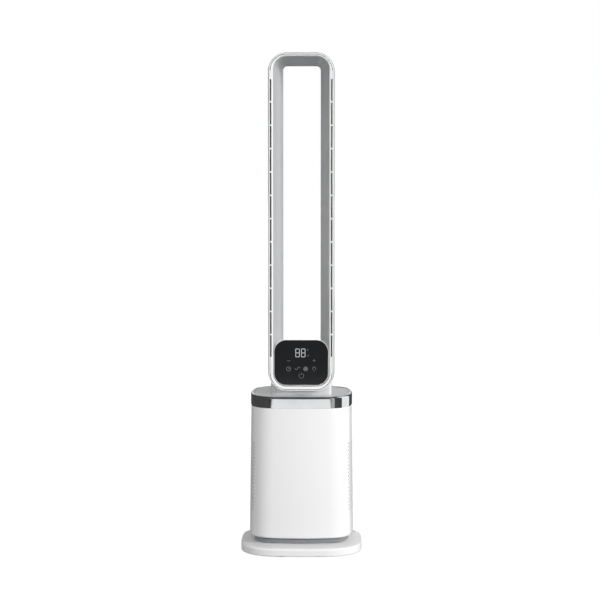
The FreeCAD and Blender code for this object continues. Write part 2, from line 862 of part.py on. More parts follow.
def standoff_places():
    return four_corners(BOARD_WIDTH / 2 - STANDOFF_INSET, BOARD_DEPTH / 2 - STANDOFF_INSET)


def make_chassis():
    floor = chassis_plate(chassis_bottom).cut(
        Part.makeCylinder(FLOOR_HOLE, CHASSIS_PLATE, V(0, 0, chassis_bottom))
    )
    tray = chassis_plate(tray_bottom)
    bulkhead = chassis_plate(bulkhead_bottom).cut(
        Part.makeCylinder(FILTER_CORE_RADIUS, CHASSIS_PLATE, V(0, 0, bulkhead_bottom))
    )
    chassis = floor.fuse(tray).fuse(bulkhead)
    for x, y in four_corners(POST_X, POST_Y):
        post = Part.makeCylinder(
            POST_RADIUS, deck_bottom - SEAT_GAP - chassis_bottom, V(x, y, chassis_bottom)
        )
        chassis = chassis.fuse(post)
    for x, y in standoff_places():
        post = Part.makeCylinder(STANDOFF_RADIUS, BOARD_DROP, V(x, y, tray_bottom - BOARD_DROP))
        chassis = chassis.fuse(post)
    rim_radius = FILTER_RADIUS + JOINT_GAP
    rim = tube(rim_radius + LOCATING_RIM_WALL, rim_radius, tray_top, LOCATING_RIM_HEIGHT)
    reach = 2 * BODY_BOTTOM_HALF
    rim = rim.common(box(-reach, reach, -reach, 0, 0, loop_top))
    chassis = chassis.fuse(rim)
    for x, z in magnet_places():
        flat = Part.makeCylinder(
            MAGNET_RADIUS, POST_RADIUS, V(x, POST_Y, z), BACK
        )
        chassis = chassis.fuse(flat)
    for x, y in four_corners(POST_X, POST_Y):
        chassis = chassis.cut(
            Part.makeCylinder(SCREW_RADIUS + RUNNING_GAP, SCREW_LENGTH, V(x, y, chassis_bottom - 1))
        )
    return chassis.removeSplitter()


# Main board


def board_top():
    return tray_bottom - BOARD_DROP - SEAT_GAP


def make_main_board():
    z = board_top() - BOARD_THICK
    board = box(-BOARD_WIDTH / 2, BOARD_WIDTH / 2, -BOARD_DEPTH / 2, BOARD_DEPTH / 2, z, board_top())
    upright = [e for e in board.Edges if abs(e.Vertexes[0].Z - e.Vertexes[1].Z) > BOARD_THICK / 2]
    board = board.makeFillet(STANDOFF_INSET / 2, upright)
    for x, y in standoff_places():
        board = board.cut(Part.makeCylinder(SCREW_RADIUS, 2 * BOARD_THICK, V(x, y, z - 1)))
    return board


def make_board_parts():
    """Tall components on top of the main board: capacitors, a driver with its sink, sockets."""
    z = board_top() + SEAT_GAP
    parts = []
    for i in (-1, 0, 1):
        can = Part.makeCylinder(CAPACITOR_RADIUS, CAPACITOR_HEIGHT, V(i * CAPACITOR_PITCH, CAPACITOR_Y, z))
        parts.append(can.makeFillet(CAPACITOR_RADIUS * 0.15, edges_at(can, "z", z + CAPACITOR_HEIGHT)))
    half_socket = SOCKET_LENGTH / 2
    for i in (-3, -2, 2, 3):
        x = i * SOCKET_PITCH
        parts.append(
            box(x - half_socket, x + half_socket, SOCKET_Y, SOCKET_Y + SOCKET_DEPTH, z, z + SOCKET_HEIGHT)
        )
    sink = box(-SINK_HALF, SINK_HALF, SINK_Y, SINK_Y + SINK_DEPTH, z, z + SINK_FLOOR)
    fin_pitch = (SINK_DEPTH - SINK_FIN) / (SINK_FINS - 1)
    for fin in range(SINK_FINS):
        y = SINK_Y + fin * fin_pitch
        sink = sink.fuse(box(-SINK_HALF, SINK_HALF, y, y + SINK_FIN, z, z + SINK_HEIGHT))
    parts.append(sink)
    return Part.makeCompound(parts)


# Filter cartridge


def filter_low():
    return tray_top + JOINT_GAP


def filter_high():
    return bulkhead_bottom - JOINT_GAP - FILTER_SEAL_THICK


def filter_cap(z_low):
    cap = tube(FILTER_RADIUS, FILTER_CORE_RADIUS, z_low, FILTER_CAP_THICK)
    rims = edges_at(cap, "z", z_low) + edges_at(cap, "z", z_low + FILTER_CAP_THICK)
    return cap.makeFillet(FILTER_CAP_THICK * 0.2, rims)


def make_filter_bottom_cap():
    cap = filter_cap(filter_low())
    floor = Part.makeCylinder(
        FILTER_CORE_RADIUS + 1.0, FILTER_CAP_THICK * 0.5, V(0, 0, filter_low())
    )
    return cap.fuse(floor).removeSplitter()


def make_filter_top_cap():
    return filter_cap(filter_high() - FILTER_CAP_THICK)


def make_filter_seal():
    width = FILTER_RADIUS - FILTER_CORE_RADIUS
    inset = width * 0.25
    return tube(FILTER_RADIUS - inset, FILTER_CORE_RADIUS + inset, filter_high(), FILTER_SEAL_THICK)


def make_filter_pleats():
    """Zigzag paper: folds run in and out between the core and the rim."""
    outer = FILTER_RADIUS - PLEAT_EDGE_GAP
    inner = FILTER_CORE_RADIUS + FILTER_CORE_WALL + PLEAT_EDGE_GAP
    step = math.pi / PLEAT_COUNT
    outside, inside = [], []
    for fold in range(2 * PLEAT_COUNT):
        radius = outer if fold % 2 == 0 else inner
        outside.append(polar(radius, fold * step))
        inside.append(polar(radius - PLEAT_WALL, fold * step))
    rim = Part.Wire(Part.makePolygon(outside + outside[:1]))
    core = Part.Wire(Part.makePolygon(inside + inside[:1]))
    face = Part.Face(rim).cut(Part.Face(core))
    low = filter_low() + FILTER_CAP_THICK
    height = filter_high() - FILTER_CAP_THICK - low
    pleats = face.extrude(V(0, 0, height))
    pleats.translate(V(0, 0, low))
    return pleats


def make_filter_core():
    low = filter_low() + FILTER_CAP_THICK
    height = filter_high() - FILTER_CAP_THICK - low
    core = tube(FILTER_CORE_RADIUS + FILTER_CORE_WALL, FILTER_CORE_RADIUS, low, height)
    slots = []
    reach, half = 2 * FILTER_CORE_RADIUS, CORE_SLOT / 2
    for row in range(CORE_ROWS):
        z = low + height * (row + 0.5) / CORE_ROWS
        for turn in range(CORE_COLUMNS // 2):
            slot = box(-reach, reach, -half, half, z - half, z + half)
            slot.rotate(V(0, 0, 0), UP, 360 / CORE_COLUMNS * turn)
            slots.append(slot)
    return core.cut(Part.makeCompound(slots))


def make_filter_tab():
    z = filter_high() - FILTER_CAP_THICK / 2
    half_w, half_t = TAB_WIDTH / 2, TAB_THICK / 2
    y_low, y_high = FILTER_RADIUS - 1, FILTER_RADIUS + TAB_LENGTH
    tab = box(-half_w, half_w, y_low, y_high, z - half_t, z + half_t)
    upright = [
        e for e in tab.Edges
        if abs(e.Vertexes[0].Z - e.Vertexes[1].Z) > TAB_THICK / 2 and e.CenterOfMass.y > FILTER_RADIUS
    ]
    tab = tab.makeFillet(TAB_WIDTH / 6, upright)
    return tab.cut(Part.makeCylinder(FILTER_RADIUS + SEAT_GAP, loop_top))


# Blower


def duct_low():
    return bulkhead_top + ISOLATOR_THICK


def duct_high():
    return deck_bottom - SEAT_GAP


def make_blower_isolator():
    outer = DUCT_RADIUS + DUCT_WALL + DUCT_FLANGE
    return tube(outer, DUCT_RADIUS, bulkhead_top, ISOLATOR_THICK)


def make_blower_duct():
    duct = tube(DUCT_RADIUS + DUCT_WALL, DUCT_RADIUS, duct_low(), duct_high() - duct_low())
    flange = tube(DUCT_RADIUS + DUCT_WALL + DUCT_FLANGE, DUCT_RADIUS, duct_low(), DUCT_FLANGE_THICK)
    return duct.fuse(flange).removeSplitter()


def make_inlet_bellmouth():
    outer = DUCT_RADIUS - SEAT_GAP
    inner = FILTER_CORE_RADIUS
    low, high = bulkhead_top, bulkhead_top + BELLMOUTH_HEIGHT
    lip = outer - inner - BELLMOUTH_EDGE
    start, end = V(inner + lip, 0, low), V(inner, 0, high)
    near = 1 - math.sqrt(0.5)
    middle = V(inner + lip * near, 0, low + BELLMOUTH_HEIGHT * near)
    edges = [
        Part.LineSegment(V(outer, 0, low), start).toShape(),
        arc(start, middle, end),
        Part.LineSegment(end, V(outer, 0, high)).toShape(),
        Part.LineSegment(V(outer, 0, high), V(outer, 0, low)).toShape(),
    ]
    return Part.Face(Part.Wire(edges)).revolve(V(0, 0, 0), UP, 360)


def stator_low():
    return bulkhead_top + STATOR_LOW


def stator_high():
    return stator_low() + STATOR_HEIGHT


def lean_blade(radius, z_low, height, lean, thick):
    """Thin plate section standing at a radius on +X, leaned about the radial line."""
    run = height * math.tan(math.radians(lean))
    half = thick / 2
    corners = [
        V(radius, -run / 2 - half, z_low),
        V(radius, -run / 2 + half, z_low),
        V(radius, run / 2 + half, z_low + height),
        V(radius, run / 2 - half, z_low + height),
    ]
    return Part.makePolygon(corners + corners[:1])


def make_stator():
    ring_outer = DUCT_RADIUS - SEAT_GAP
    ring_inner = ring_outer - STATOR_RING_WALL
    stator = tube(ring_outer, ring_inner, stator_low(), STATOR_HEIGHT)
    cup = Part.makeCylinder(STATOR_HUB_RADIUS, STATOR_HEIGHT, V(0, 0, stator_low()))
    well = Part.makeCylinder(
        STATOR_HUB_RADIUS - STATOR_HUB_WALL, STATOR_HEIGHT, V(0, 0, stator_low() + STATOR_HUB_WALL)
    )
    hole = Part.makeCylinder(STATOR_HOLE_RADIUS, STATOR_HEIGHT, V(0, 0, stator_low() - 1))
    stator = stator.fuse(cup.cut(well).cut(hole))
    span_outer = ring_inner + STATOR_RING_WALL / 2
    span_inner = STATOR_HUB_RADIUS - STATOR_HUB_WALL / 2
    span = tube(span_outer, span_inner, stator_low(), STATOR_HEIGHT)
    vane = loft([
        lean_blade(r, stator_low(), STATOR_HEIGHT, STATOR_VANE_LEAN, STATOR_VANE_THICK)
        for r in (STATOR_HUB_RADIUS - STATOR_HUB_WALL, ring_outer)
    ]).common(span)
    for turn in range(STATOR_VANES):
        copy = vane.copy()
        copy.rotate(V(0, 0, 0), UP, 360 * turn / STATOR_VANES)
        stator = stator.fuse(copy)
    return stator.removeSplitter()


def make_hub_fairing():
    low = stator_high() + SEAT_GAP
    radius = STATOR_HUB_RADIUS
    plug_radius = radius - STATOR_HUB_WALL - SEAT_GAP
    plug = Part.makeCylinder(plug_radius, STATOR_HUB_WALL, V(0, 0, low - STATOR_HUB_WALL))
    ball = (radius**2 + FAIRING_HEIGHT**2) / (2 * FAIRING_HEIGHT)
    dome = Part.makeSphere(ball, V(0, 0, low + FAIRING_HEIGHT - ball))
    dome = dome.common(Part.makeCylinder(radius, FAIRING_HEIGHT + 1, V(0, 0, low)))
    return dome.fuse(plug)


def motor_low():
    return stator_low() + STATOR_HUB_WALL + SEAT_GAP


def make_motor():
    low = motor_low()
    can = Part.makeCylinder(MOTOR_RADIUS, MOTOR_HEIGHT, V(0, 0, low))
    can = can.makeFillet(MOTOR_ROUND, edges_at(can, "z", low + MOTOR_HEIGHT))
    bore = Part.makeCylinder(SHAFT_RADIUS + JOINT_GAP, MOTOR_HEIGHT, V(0, 0, low - 1))
    seats = [
        Part.makeCylinder(BEARING_RADIUS, BEARING_HEIGHT, V(0, 0, z)) for z in bearing_levels()
    ]
    return can.cut(bore).cut(Part.makeCompound(seats))


def bearing_levels():
    return (motor_low(), motor_low() + MOTOR_HEIGHT - BEARING_HEIGHT - BEARING_INSET)


def make_motor_bearings():
    rings = [
        tube(BEARING_RADIUS - RUNNING_GAP, SHAFT_RADIUS + RUNNING_GAP, z, BEARING_HEIGHT)
        for z in bearing_levels()
    ]
    return Part.makeCompound(rings)


def impeller_high():
    return stator_low() - IMPELLER_TOP_GAP


def impeller_low():
    return impeller_high() - IMPELLER_HEIGHT


def make_impeller():
    low, high = impeller_low(), impeller_high()
    wall = IMPELLER_HUB_WALL
    rise = IMPELLER_HEIGHT
    shoulder = IMPELLER_HUB_RADIUS - IMPELLER_SHOULDER_INSET
    eye_z = low + rise * IMPELLER_EYE_SHARE
    shoulder_z = low + rise * IMPELLER_SHOULDER_SHARE
    outer = [
        (SHAFT_RADIUS, low),
        (IMPELLER_EYE_RADIUS, low),
        (IMPELLER_EYE_RADIUS + IMPELLER_EYE_FLARE, eye_z),
        (shoulder, shoulder_z),
        (IMPELLER_HUB_RADIUS, high),
    ]
    inner = [
        (IMPELLER_HUB_RADIUS - wall, high),
        (shoulder - wall, shoulder_z + wall),
        (IMPELLER_EYE_RADIUS - wall, eye_z + wall),
        (SHAFT_RADIUS, eye_z + wall),
    ]
    hub = revolved(outer + inner)
    tip = DUCT_RADIUS - IMPELLER_TIP_GAP
    root = IMPELLER_EYE_RADIUS / 2
    blade = loft([
        lean_blade(root, low, rise, BLADE_ROOT_LEAN, BLADE_THICK),
        lean_blade(tip + BLADE_OVERRUN, low, rise, BLADE_TIP_LEAN, BLADE_THICK),
    ])
    inlet_tip = FILTER_CORE_RADIUS - IMPELLER_TIP_GAP
    sweep = revolved([
        (0, low),
        (inlet_tip, low),
        (inlet_tip, low + rise * BLADE_INLET_SHARE),
        (tip, low + rise * BLADE_TIP_SHARE),
        (tip, high),
        (0, high),
    ])
    core = revolved([(0, low - 1)] + [(r - wall / 2, z) for r, z in outer[1:]] + [(0, high)])
    blade = blade.common(sweep).cut(core)
    blade = max(blade.Solids, key=lambda solid: solid.Volume)
    impeller = hub
    for turn in range(IMPELLER_BLADES):
        copy = blade.copy()
        copy.rotate(V(0, 0, 0), UP, 360 * turn / IMPELLER_BLADES)
        impeller = impeller.fuse(copy)
    return impeller.removeSplitter()


def make_motor_shaft():
    low = impeller_low() - NUT_HEIGHT
    high = bearing_levels()[1] + BEARING_HEIGHT + SHAFT_OVERRUN
    return Part.makeCylinder(SHAFT_RADIUS, high - low, V(0, 0, low))


def make_impeller_nut():
    corners = [polar(NUT_RADIUS, math.pi / 3 * i, impeller_low() - NUT_HEIGHT) for i in range(6)]
    nut = Part.Face(Part.makePolygon(corners + corners[:1])).extrude(V(0, 0, NUT_HEIGHT))
    return nut.cut(Part.makeCylinder(SHAFT_RADIUS, loop_top))


# Chrome band, deck and neck


def top_outline(inset, z):
    """Body outline at its top edge, grown by the band's overhang."""
    half = BODY_TOP_HALF + BAND_PROUD - inset
    return crowned_square(half, BODY_CORNER + BAND_PROUD - inset, BODY_SIDE_RADIUS - inset, z)


def make_chrome_band():
    block = loft([top_outline(0, z) for z in (body_top, band_top)])
    block = block.makeFillet(BAND_ROUND, edges_at(block, "z", band_top))
    inner = loft([top_outline(BAND_WALL, z) for z in (body_top - 1, band_top + 1)])
    return block.cut(inner)


def make_deck_plate():
    outline = [top_outline(BAND_WALL + SEAT_GAP, z) for z in (deck_bottom, deck_top)]
    deck = loft(outline)
    deck = deck.cut(Part.makeCylinder(DUCT_RADIUS, 2 * DECK_THICK, V(0, 0, deck_bottom - 1)))
    return deck


def neck_outline(share):
    """Neck outline at a share of its rise: front and back lean in a little."""
    front = NECK_FRONT + NECK_FRONT_LEAN * share
    back = NECK_BACK - NECK_BACK_LEAN * share
    return plan_rectangle(NECK_HALF, front, back, NECK_CORNER, deck_top + NECK_RISE * share)


def neck_hollow(z):
    front = NECK_FRONT + NECK_FRONT_LEAN + NECK_WALL
    back = NECK_BACK - NECK_BACK_LEAN - NECK_WALL
    return plan_rectangle(NECK_HALF - NECK_WALL, front, back, NECK_CORNER - NECK_WALL, z)


def spigot_outline(grow, z):
    half = SPIGOT_HALF + grow
    return plan_rectangle(half, -half, half, SPIGOT_CORNER + grow, z)


def spigot_top():
    return loop_bottom + SPIGOT_HEIGHT


def make_neck_collar():
    """Saddle that carries the loop, with a spigot that leads the air into it."""
    skirt = loft([neck_outline(share) for share in (0, 1)])
    inside = loft([neck_hollow(z) for z in (deck_top, deck_top + NECK_RISE)])
    lid = loop_outer_form(SEAT_GAP + NECK_WALL)
    skirt = skirt.cut(inside.cut(lid)).cut(loop_outer_form(SEAT_GAP))
    spigot = loft([spigot_outline(0, z) for z in (deck_top, spigot_top())])
    bore = loft([spigot_outline(-NECK_WALL, z) for z in (deck_top - 1, spigot_top() + 1)])
    return skirt.fuse(spigot).cut(bore).removeSplitter()


def make_neck_gasket():
    """Rubber ring on the loop's floor, round the spigot."""
    high = spigot_top()
    outer = loft([spigot_outline(SEAT_GAP + NECK_GASKET_WIDTH, z) for z in (loop_bottom, high)])
    inner = loft([spigot_outline(SEAT_GAP, z) for z in (loop_bottom - 1, high + 1)])
    floor = loop_form(LIP_THICK + SEAT_GAP, LOOP_FRONT, LOOP_BACK - LOOP_WALL)
    above = loop_form(LIP_THICK + NECK_GASKET_THICK, LOOP_FRONT, LOOP_BACK - LOOP_WALL)
    return outer.cut(inner).common(floor).cut(above)


# Loop


def bulge(y):
    """How far the loop's outer skin lies inside its widest outline at a depth."""
    if y < BULGE_Y:
        return LIP_INSET * ((y - BULGE_Y) / (LOOP_FRONT - BULGE_Y)) ** 2
    return SHOULDER_INSET * ((y - BULGE_Y) / (LOOP_BACK - BULGE_Y)) ** 2


def rim_inset():
    return LIP_INSET + LIP_THICK + SLOT_WIDTH + RIM_WIDTH


def flare(y):
    """Inset of the loop's inner face at a depth: it opens out towards the front."""
    return rim_inset() + FLARE * (y - LOOP_FRONT) / (LOOP_BACK - LOOP_FRONT)


def opening_lift(y):
    """How much thinner the loop is over the opening than beside it, at a depth."""
    share = (y - LOOP_FRONT) / (LOOP_BACK - LOOP_FRONT)
    return OPENING_LIFT + (OPENING_LIFT_BACK - OPENING_LIFT) * share


def loop_outline(inset, y, rise=0.0, lift=0.0):
    """Loop outline taken in by inset; rise lifts its lower side and lift its upper side."""
    low = loop_bottom + rise + inset
    high = loop_top + lift - inset
    return rounded_rectangle(LOOP_HALF - inset, low, high, LOOP_CORNER - inset, y)


def loop_form(wall, front, back):
    """Outer form of the loop, taken in by a wall, between two depths."""
    depths = [front + (back - front) * i / 4 for i in range(5)]
    return loft([loop_outline(bulge(y) + wall, y) for y in depths], ruled=False)


def loop_outer_form(grow=0.0):
    """Outer form of the loop with its rounded back edge, grown all round."""
    back = LOOP_BACK + grow
    form = loop_form(-grow, LOOP_FRONT - grow, back)
    return form.makeFillet(LOOP_BACK_ROUND + grow, edges_at(form, "y", back))


def opening_form(wall, front, back):
    """Flared opening through the loop, grown by a wall."""
    return loft([
        loop_outline(flare(y) - wall, y, PLENUM_RISE, opening_lift(y)) for y in (front, back)
    ])


def make_loop_outer_shell():
    back = LOOP_BACK - LOOP_WALL
    hollow = loop_form(LIP_THICK, LOOP_FRONT, back)
    hollow = hollow.makeFillet(LOOP_BACK_ROUND - LOOP_WALL, edges_at(hollow, "y", back))
    lip = LIP_INSET + LIP_THICK
    mouth = loft([loop_outline(lip, y) for y in (LOOP_FRONT - 1, LOOP_FRONT + LIP_THICK / 3)])
    shell = loop_outer_form().cut(hollow).cut(mouth)
    shell = shell.cut(opening_form(LINER_WALL + SEAT_GAP, BULGE_Y, LOOP_BACK + 1))
    port = loft([spigot_outline(SEAT_GAP, z) for z in (deck_top, spigot_top())])
    return shell.cut(port).removeSplitter()


def pod_pocket_back():
    return LOOP_FRONT + POD_SET_BACK + POD_DEPTH + JOINT_GAP


def web_back():
    return pod_pocket_back() + WEB_THICK


def tray_form(wall, front, back):
    """Form of the pod's tray: it carries on the flare below the loop's opening."""
    return loft([loop_outline(flare(y) - wall, y, 0, opening_lift(y)) for y in (front, back)])


def below(level):
    reach = 2 * LOOP_HALF
    return box(-reach, reach, -reach, reach, 0, level)


def web_top():
    return pod_centre_z() + GLASS_HEIGHT / 2 - GLASS_CORNER


def make_loop_front_frame():
    """Front rim with a bevelled inner edge and a line of outlet slots on each side."""
    back = LOOP_FRONT + RIM_DEPTH
    edge = LIP_INSET + LIP_THICK
    ring = loft([loop_outline(edge + SEAT_GAP, y) for y in (LOOP_FRONT, back)])
    ring = ring.cut(tray_form(0, LOOP_FRONT - 1, back + 1))
    bevel = loft([
        loop_outline(rim_inset() - RIM_CHAMFER + step, LOOP_FRONT + step, 0, OPENING_LIFT)
        for step in (0, RIM_CHAMFER)
    ])
    ring = ring.cut(bevel)
    groove_depths = (LOOP_FRONT - 1, LOOP_FRONT + GROOVE_DEPTH)
    groove_out = loft([loop_outline(edge - 1, y) for y in groove_depths])
    groove_in = loft([loop_outline(edge + SEAT_GAP + GROOVE_WIDTH, y) for y in groove_depths])
    ring = ring.cut(groove_out.cut(groove_in))
    slot_outer = LOOP_HALF - edge + 1
    slot_inner = LOOP_HALF - edge - SLOT_WIDTH
    slots = []
    for i in range(SLOT_COUNT):
        low = loop_bottom + SLOT_LOW + i * SLOT_PITCH + SLOT_RIB / 2
        high = low + SLOT_PITCH - SLOT_RIB
        slots.append(box(slot_inner, slot_outer, LOOP_FRONT - 1, back + 1, low, high))
        slots.append(box(-slot_outer, -slot_inner, LOOP_FRONT - 1, back + 1, low, high))
    return ring.cut(Part.makeCompound(slots))


def make_pod_tray():
    """Tray behind the control pod: it carries on the flare and closes the loop's foot."""
    front = LOOP_FRONT + RIM_DEPTH + SEAT_GAP
    tray = tray_form(LINER_WALL, front, web_back())
    tray = tray.cut(tray_form(0, front - 1, pod_pocket_back()))
    return tray.common(below(web_top()))


def make_loop_liner():
    front = LOOP_FRONT + RIM_DEPTH + SEAT_GAP
    liner = opening_form(LINER_WALL, front, LOOP_BACK).cut(opening_form(0, front - 1, LOOP_BACK + 1))
    reach = 2 * LOOP_HALF
    tray_room = box(-reach, reach, -reach, web_back() + SEAT_GAP, 0, web_top() + SEAT_GAP)
    return liner.cut(tray_room)


# Control pod


def pod_centre_z():
    return loop_bottom + POD_RISE


def pod_front():
    return LOOP_FRONT + POD_SET_BACK


def pod_outline(grow, y):
    """Rounded panel outline; grow is measured from the edge of the glass."""
    half_h = GLASS_HEIGHT / 2 + grow
    return rounded_rectangle(
        GLASS_WIDTH / 2 + grow, pod_centre_z() - half_h, pod_centre_z() + half_h, GLASS_CORNER + grow, y
    )


def pod_form(wall, front, back):
    end = pod_front() + POD_DEPTH
    return loft([
        pod_outline(BEZEL_WIDTH - wall - POD_TAPER * (y - pod_front()) / (end - pod_front()), y)
        for y in (front, back)
    ])


def glass_back():
    return pod_front() + GLASS_THICK + SEAT_GAP


def board_front():
    return glass_back() + DISPLAY_GAP


def make_control_pod():
    front, back = pod_front(), pod_front() + POD_DEPTH
    block = pod_form(0, front, back)
    block = block.makeFillet(POD_WALL * 0.9, edges_at(block, "y", back))
    recess = loft([pod_outline(SEAT_GAP, y) for y in (front - 1, glass_back())])
    hollow = pod_form(POD_WALL + BEZEL_WIDTH, glass_back() - 0.5, back - POD_WALL)
    pod = block.cut(recess).cut(hollow)
    for x, z in pod_post_places():
        floor = back - POD_WALL
        length = floor - board_front() - BOARD_THICK - SEAT_GAP
        pod = pod.fuse(Part.makeCylinder(STANDOFF_RADIUS, length, V(x, floor, z), -BACK))
    return pod.removeSplitter()


def pod_post_places():
    x = GLASS_WIDTH / 2 - GLASS_CORNER
    z = GLASS_HEIGHT / 2 - GLASS_CORNER
    return [(px, pod_centre_z() + pz) for px, pz in four_corners(x, z)]


def make_panel_glass():
    front = pod_front() + SEAT_GAP
    glass = loft([pod_outline(0, y) for y in (front, front + GLASS_THICK)])
    return glass.makeFillet(GLASS_THICK * 0.2, edges_at(glass, "y", front))


def make_display_board():
    inset = DISPLAY_BOARD_INSET + POD_TAPER / 2
    return loft([pod_outline(-inset, y) for y in (board_front(), board_front() + BOARD_THICK)])


def make_digit_display():
    z = pod_centre_z() + DIGIT_RISE
    return box(
        -DIGIT_WIDTH / 2, DIGIT_WIDTH / 2, glass_back() + SEAT_GAP, board_front() - SEAT_GAP,
        z - DIGIT_HEIGHT / 2, z + DIGIT_HEIGHT / 2,
    )


def touch_places():
    """Key positions on the panel: less and more, a row of four, and power."""
    row = [(TOUCH_SPACING * (i - 1.5), -TOUCH_ROW_DROP) for i in range(4)]
    sides = [(1.5 * TOUCH_SPACING * s, TOUCH_SIDE_RISE) for s in (-1, 1)]
    return [(x, pod_centre_z() + z) for x, z in row + sides + [(0.0, -TOUCH_POWER_DROP)]]


def make_touch_pillars():
    length = board_front() - glass_back() - 2 * SEAT_GAP
    pillars = [
        Part.makeCylinder(TOUCH_RADIUS, length, V(x, glass_back() + SEAT_GAP, z), BACK)
        for x, z in touch_places()
    ]
    return Part.makeCompound(pillars)


def build():
    shell = with_windows(body_shell())
    grille = make_grille()
    nodes = {
        "base_plate": make_base_plate(),
        "base_under_cover": make_base_under_cover(),
        "rubber_feet": make_rubber_feet(),
        "base_screws": make_base_screws(),
        "swivel_spindle": make_swivel_spindle(),
        "spindle_retainer": make_spindle_retainer(),
        "fixed_gear": make_fixed_gear(),
        "thrust_ring": make_thrust_ring(),
        "power_inlet": make_power_inlet(),
        "plinth": make_plinth(),
        "plinth_screws": make_plinth_screws(),
        "swing_motor": make_swing_motor(),
        "swing_pinion": make_swing_pinion(),
        "chassis": make_chassis(),
        "main_board": make_main_board(),
        "board_parts": make_board_parts(),
        "front_shell": shell.common(front_half()),
        "rear_cover": make_rear_cover(shell),
        "cover_magnets": make_cover_magnets(),
        "strike_plates": make_strike_plates(),
        "front_right_grille": grille,
        "front_left_grille": mirrored(grille, True, False),
        "rear_right_grille": mirrored(grille, False, True),
        "rear_left_grille": mirrored(grille, True, True),
        "filter_bottom_cap": make_filter_bottom_cap(),
        "filter_top_cap": make_filter_top_cap(),
        "filter_seal": make_filter_seal(),
        "filter_pleats": make_filter_pleats(),
        "filter_core": make_filter_core(),
        "filter_tab": make_filter_tab(),
        "blower_isolator": make_blower_isolator(),
        "blower_duct": make_blower_duct(),
        "inlet_bellmouth": make_inlet_bellmouth(),
        "stator": make_stator(),
        "hub_fairing": make_hub_fairing(),
        "motor": make_motor(),
        "motor_bearings": make_motor_bearings(),
        "motor_shaft": make_motor_shaft(),
        "impeller": make_impeller(),
        "impeller_nut": make_impeller_nut(),
        "chrome_band": make_chrome_band(),
        "deck_plate": make_deck_plate(),
        "neck_collar": make_neck_collar(),
        "neck_gasket": make_neck_gasket(),
        "loop_outer_shell": make_loop_outer_shell(),
        "loop_front_frame": make_loop_front_frame(),
        "loop_liner": make_loop_liner(),
        "pod_tray": make_pod_tray(),
        "control_pod": make_control_pod(),
        "panel_glass": make_panel_glass(),
        "display_board": make_display_board(),
        "digit_display": make_digit_display(),
        "touch_pillars": make_touch_pillars(),
    }
    return nodes


def main():
    os.makedirs("parts", exist_ok=True)
    for name, shape in build().items():
        shape.exportStep(os.path.join("parts", name + ".step"))


main()
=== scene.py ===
import math

import bmesh
import bpy
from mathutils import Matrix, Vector


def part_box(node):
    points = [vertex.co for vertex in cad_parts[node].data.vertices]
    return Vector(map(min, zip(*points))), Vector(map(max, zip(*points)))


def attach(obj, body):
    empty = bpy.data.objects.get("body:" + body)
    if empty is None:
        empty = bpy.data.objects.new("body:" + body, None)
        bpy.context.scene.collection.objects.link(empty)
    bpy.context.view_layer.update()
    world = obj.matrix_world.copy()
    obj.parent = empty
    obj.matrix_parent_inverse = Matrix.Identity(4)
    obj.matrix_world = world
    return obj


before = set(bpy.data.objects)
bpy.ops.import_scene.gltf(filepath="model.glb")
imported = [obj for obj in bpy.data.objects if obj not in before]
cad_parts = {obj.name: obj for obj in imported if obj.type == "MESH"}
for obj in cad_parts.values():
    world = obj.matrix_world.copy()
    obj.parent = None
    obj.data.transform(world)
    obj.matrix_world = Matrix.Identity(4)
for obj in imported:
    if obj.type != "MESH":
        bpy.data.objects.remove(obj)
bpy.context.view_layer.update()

MM = 0.001

# Base plate
# The foot is one white ABS moulding with a softly sloped top, screwed to a black under cover.
# A fine spark texture in the mould gives it a satin look, brightest where it faces the light.

PLASTIC_IOR = 1.53
GRAIN_DARK, GRAIN_LIGHT = 0.35, 0.65
GLOSS_SWING = 0.04
RELIEF_STRENGTH = 0.15


def linear(colour):
    """Linear RGBA from an sRGB hex colour such as #F0F0F0."""
    channels = [int(colour[i : i + 2], 16) / 255 for i in (1, 3, 5)]
    return [c / 12.92 if c <= 0.04045 else ((c + 0.055) / 1.055) ** 2.4 for c in channels] + [1.0]


def add_node(tree, kind, settings=None, links=None):
    """Adds a node, sets its inputs or properties by name, and links its inputs."""
    node = tree.nodes.new(kind)
    for name, value in (settings or {}).items():
        if name in node.inputs:
            node.inputs[name].default_value = value
        else:
            setattr(node, name, value)
    for name, source in (links or {}).items():
        tree.links.new(source, node.inputs[name])
    return node


def start_material(name):
    """New material with its tree and the Object coordinates that its patterns read."""
    material = bpy.data.materials.new(name)
    material.use_nodes = True
    tree = material.node_tree
    tree.nodes.clear()
    place = add_node(tree, "ShaderNodeTexCoord")
    return material, tree, place.outputs["Object"]


